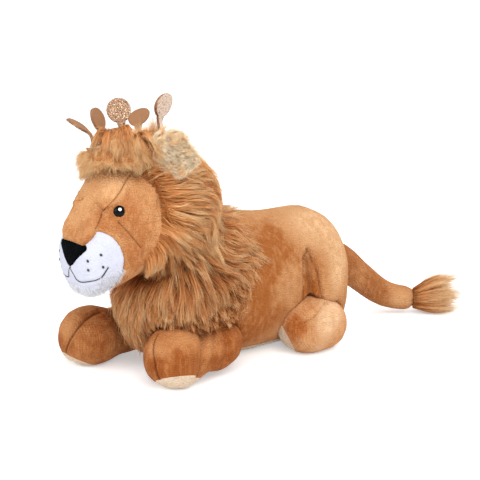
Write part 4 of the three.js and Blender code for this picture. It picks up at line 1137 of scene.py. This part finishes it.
def fountain(name, angles, out, low, count, locks, seed, spin, heights, sway=1.4, spread=0.55, rings=3):
    """Hair from the outside of the crown's band, between two angles round it, falling outwards."""
    rng = np.random.default_rng(seed)

    def roots_at(n):
        a = np.radians(rng.uniform(*angles, n))
        r = rng.uniform(27.2, 30.5, n)
        flat = np.stack([r * np.cos(a), r * np.sin(a), rng.uniform(*heights, n)], 1)
        return to_crown(flat), np.stack([np.cos(a), np.sin(a), np.zeros(n)], 1)

    lead, outward = roots_at(locks)
    side = np.cross([0, 0, 1], outward) * rng.normal(spin, spread, locks)[:, None]
    reach = rng.uniform(*out, locks)[:, None]
    end = lead + (outward + side) * reach
    end[:, 2] = np.minimum(rng.uniform(*low, locks), lead[:, 2] - 3)
    middle = lead + (outward * 0.6 + side * 0.2) * reach
    middle[:, 2] = lead[:, 2] + rng.uniform(2, 11, locks)
    curves = lifted_off(head_tree, arcs(lead, middle, end), 1.2)
    roots, normals = roots_at(count)
    pile = follow_locks(name, curves, lead, roots, normals, 0.25, 0.5, 0.8, sway, rng, rings)
    dress(pile, "head", forelock_pile)


# Each row: name, angles, reach, height of the tips, strands, locks, seed, spin, height of the roots
# above the band's foot, sway, spread, rings.
for row in (
        ("forelock_left_lump", (-155, -88), (4, 12), (145, 163), 5200, 40, 62, -0.2, (-3, 10), 1.3, 0.35, 4),
        ("forelock_front_low", (-98, -66), (8, 14), (159, 167), 2200, 18, 68, 0.0, (-2, 11), 1.4, 0.4, 4),
        ("forelock_front", (-70, -32), (9, 15), (160, 168), 3800, 32, 61, 0.1, (3, 24), 1.5, 0.4, 4),
        ("forelock_near", (-66, 0), (8, 17), (156, 168), 4200, 34, 63, 0.55, (-2, 17), 1.1, 0.35, 4),
        ("crown_far_hair", (-215, -150), (3, 9), (146, 164), 2400, 60, 65, 0.0, (-4, 8)),
        ("ear_side_hair", (-4, 50), (4, 11), (151, 160), 2600, 70, 66, 0.2, (-5, 1)),
        ("crown_back_hair", (50, 145), (6, 14), (146, 158), 2800, 70, 64, 0.0, (-4, 1))):
    fountain(*row)

# %% Long hair combed over the forelock, from the foot of the crown to the brow
picture_right, towards_camera = np.array([0.643, 0.766, 0]), np.array([0.766, -0.643, 0])


def forelock_flow(p, n):
    flow = unit((p - crown_centre) * [1, 1, 0]) * 0.9 + np.array([0, 0, -0.9])
    return unit(laid(flow + towards_camera * (0.25 * ramp(p[:, 0], -5, 20))[:, None], n))


def forelock_length(lead):
    return np.clip(3 + 1.05 * (lead[:, 2] - 170), 3, 22)


def over_brow(p, n):
    across = p @ picture_right
    return (p[:, 2] > 170) & (across > -103) & (p[:, 2] < 174 + 10 * ramp(across, -98, -84))


pile = thicket("forelock_over", ["forelock"], over_brow, forelock_flow, 3400, 60, forelock_length, 0.26, 5.5,
               (0.0, 2.5), 0.85, 0.85, 67, rounded_tree(["forelock"], 1.6, 8, -7.0), sway=1.0)
dress(pile, "head", forelock_pile)

# %% Hair inside the crown
rng = np.random.default_rng(71)
lead = np.stack([rng.uniform(-22, 22, 160), rng.uniform(-22, 22, 160), np.zeros(160)], 1)
lead = lead[np.hypot(lead[:, 0], lead[:, 1]) < 22]
rise = (0.56 + 0.42 * ramp(lead @ np.array([0.64, 0.77, 0]), -12, 18))[:, None]
middle = lead + [0, 0, 13] * rise + rng.normal(0, 1.5, lead.shape)
end = lead * [1.05, 1.05, 1] + [1.5, 0, 25] * rise + rng.normal(0, 3.0, lead.shape)
curves = to_crown(arcs(lead, middle, end))
roots = np.stack([rng.uniform(-23, 23, 4500), rng.uniform(-23, 23, 4500), rng.uniform(-1, 2, 4500)], 1)
roots = to_crown(roots[np.hypot(roots[:, 0], roots[:, 1]) < 23])
normals = np.tile([0.6, -0.7, 0.4], (len(roots), 1))
pile = follow_locks("crown_hair", curves, curves[:, 0], roots, normals, 0.22, 0.3, 0.7, 1.0, rng)
dress(pile, "head", mane_pile)

# %% [markdown]
# ## Chest
# The chest fur hangs almost straight down between the front legs, and its rear locks lie back over
# the ribs.

# %% Chest
def chest_flow(p, n):
    rear = ramp(p[:, 1], -70, -38)
    high = ramp(p[:, 2], 50, 105)
    back = 0.18 + 0.55 * rear * (0.3 + 0.7 * high) + 0.35 * high
    return unit(laid(np.stack([np.sign(p[:, 0]) * 0.10, back, -1.0 + 0.25 * rear], 1), n))


def chest_length(lead):
    """Locks over the legs end above them; those between the legs reach almost to the table."""
    over_leg = ramp(abs(lead[:, 0] + 4), 16, 26)
    lowest = 10 + 38 * over_leg + 18 * ramp(lead[:, 1], -75, -50) * over_leg
    return np.clip((lead[:, 2] - lowest) * 1.15, 7, 36)


def open_chest(p, n):
    """Not the underside and not the shoulder above each leg."""
    return (n[:, 2] > -0.75) & ~((p[:, 1] > -64) & (p[:, 2] < 44) & (abs(p[:, 0]) > 20))


for part, where, count, seed, rings in (
        ("left", lambda p, n: open_chest(p, n) & (p[:, 0] > 8), 6000, 21, 4),
        ("right", lambda p, n: open_chest(p, n) & (p[:, 0] < -8), 4400, 22, 3),
        ("middle", lambda p, n: open_chest(p, n) & (abs(p[:, 0]) <= 8), 3200, 23, 3)):
    pile = thicket(f"chest_pile_{part}", ["mane_chest"], where, chest_flow, count, 300, chest_length, 0.26, 4,
                   (-1.5, 3.4), 0.85, 0.85, seed, mane_envelope, rings=rings)
    dress(pile, "torso", chest_pile)

# %% Tail tuft
rng = np.random.default_rng(31)
upright = np.array([0, 0, 1])


def tuft_points(n):
    """Roots in a disc across the tail's end, and the middles and tips of their arcs."""
    a, r = rng.uniform(0, 2 * math.pi, n), np.sqrt(rng.random(n))
    wide, high = (r * np.cos(a))[:, None], (r * np.sin(a))[:, None]
    across = tuft_centre + towards_camera * (wide * 16)
    root = tuft_centre + towards_camera * (wide * 8) + upright * (high * 8.5)
    tip = across + picture_right * rng.uniform(26, 46, n)[:, None]
    tip[:, 2] = 17.5 + high[:, 0] * 18.5
    middle = tuft_centre + picture_right * 12 + towards_camera * (wide * 16 * 0.95)
    middle = middle + upright * (17.5 * 0.5 - 6 + high * 18.5 * 0.85)
    return root, middle, tip


lead, middle, tip = tuft_points(130)
roots = tuft_points(5200)[0]
normals = unit(roots - tuft_centre + [0, 0, 0.01])
pile = follow_locks("tuft_pile", arcs(lead, middle, tip), lead, roots, normals, 0.24, 0.2, 0.6, 1.0, rng)
dress(pile, "tail", tuft_pile)

# %% White chin pile and cream ear pile
def chin_flow(p, n):
    flow = np.stack([p[:, 0] * 0.02, np.full(len(p), 0.35), np.full(len(p), -1.0)], 1)
    return unit(laid(flow, n) + n * 1.1)


def chin(p, n):
    return (p[:, 2] < 82 + ramp(abs(p[:, 0]), 16, 27) * 12) & (n[:, 2] < 0.35)


pile = thicket("chin_pile", ["muzzle"], chin, chin_flow, 3200, 260, 4.6, 0.12, 0.5, (1.0, 2.6), 0.5, 0.3, 41,
               sway=0.6, rings=2)
dress(pile, "head", chin_pile)


def ear_flow(p, n):
    return unit(np.array([0.55, 0.5, 0.35]) + n * 0.8)


for side, parts, where, seed in (
        ("left", ["ear_lining_left", "ear_back_left"], lambda p, n: (n[:, 1] < 0.25) & (p[:, 0] > 27.5), 42),
        ("right", ["ear_lining_right"], lambda p, n: n[:, 1] < 0.25, 43)):
    pile = thicket(f"ear_pile_{side}", parts, where, ear_flow, 4000, 110, 11, 0.24, 0.3, (1.0, 5.0), 1.1, 0.6,
                   seed, sway=1.2, rings=3)
    dress(pile, f"ear_{side}", cream_pile)
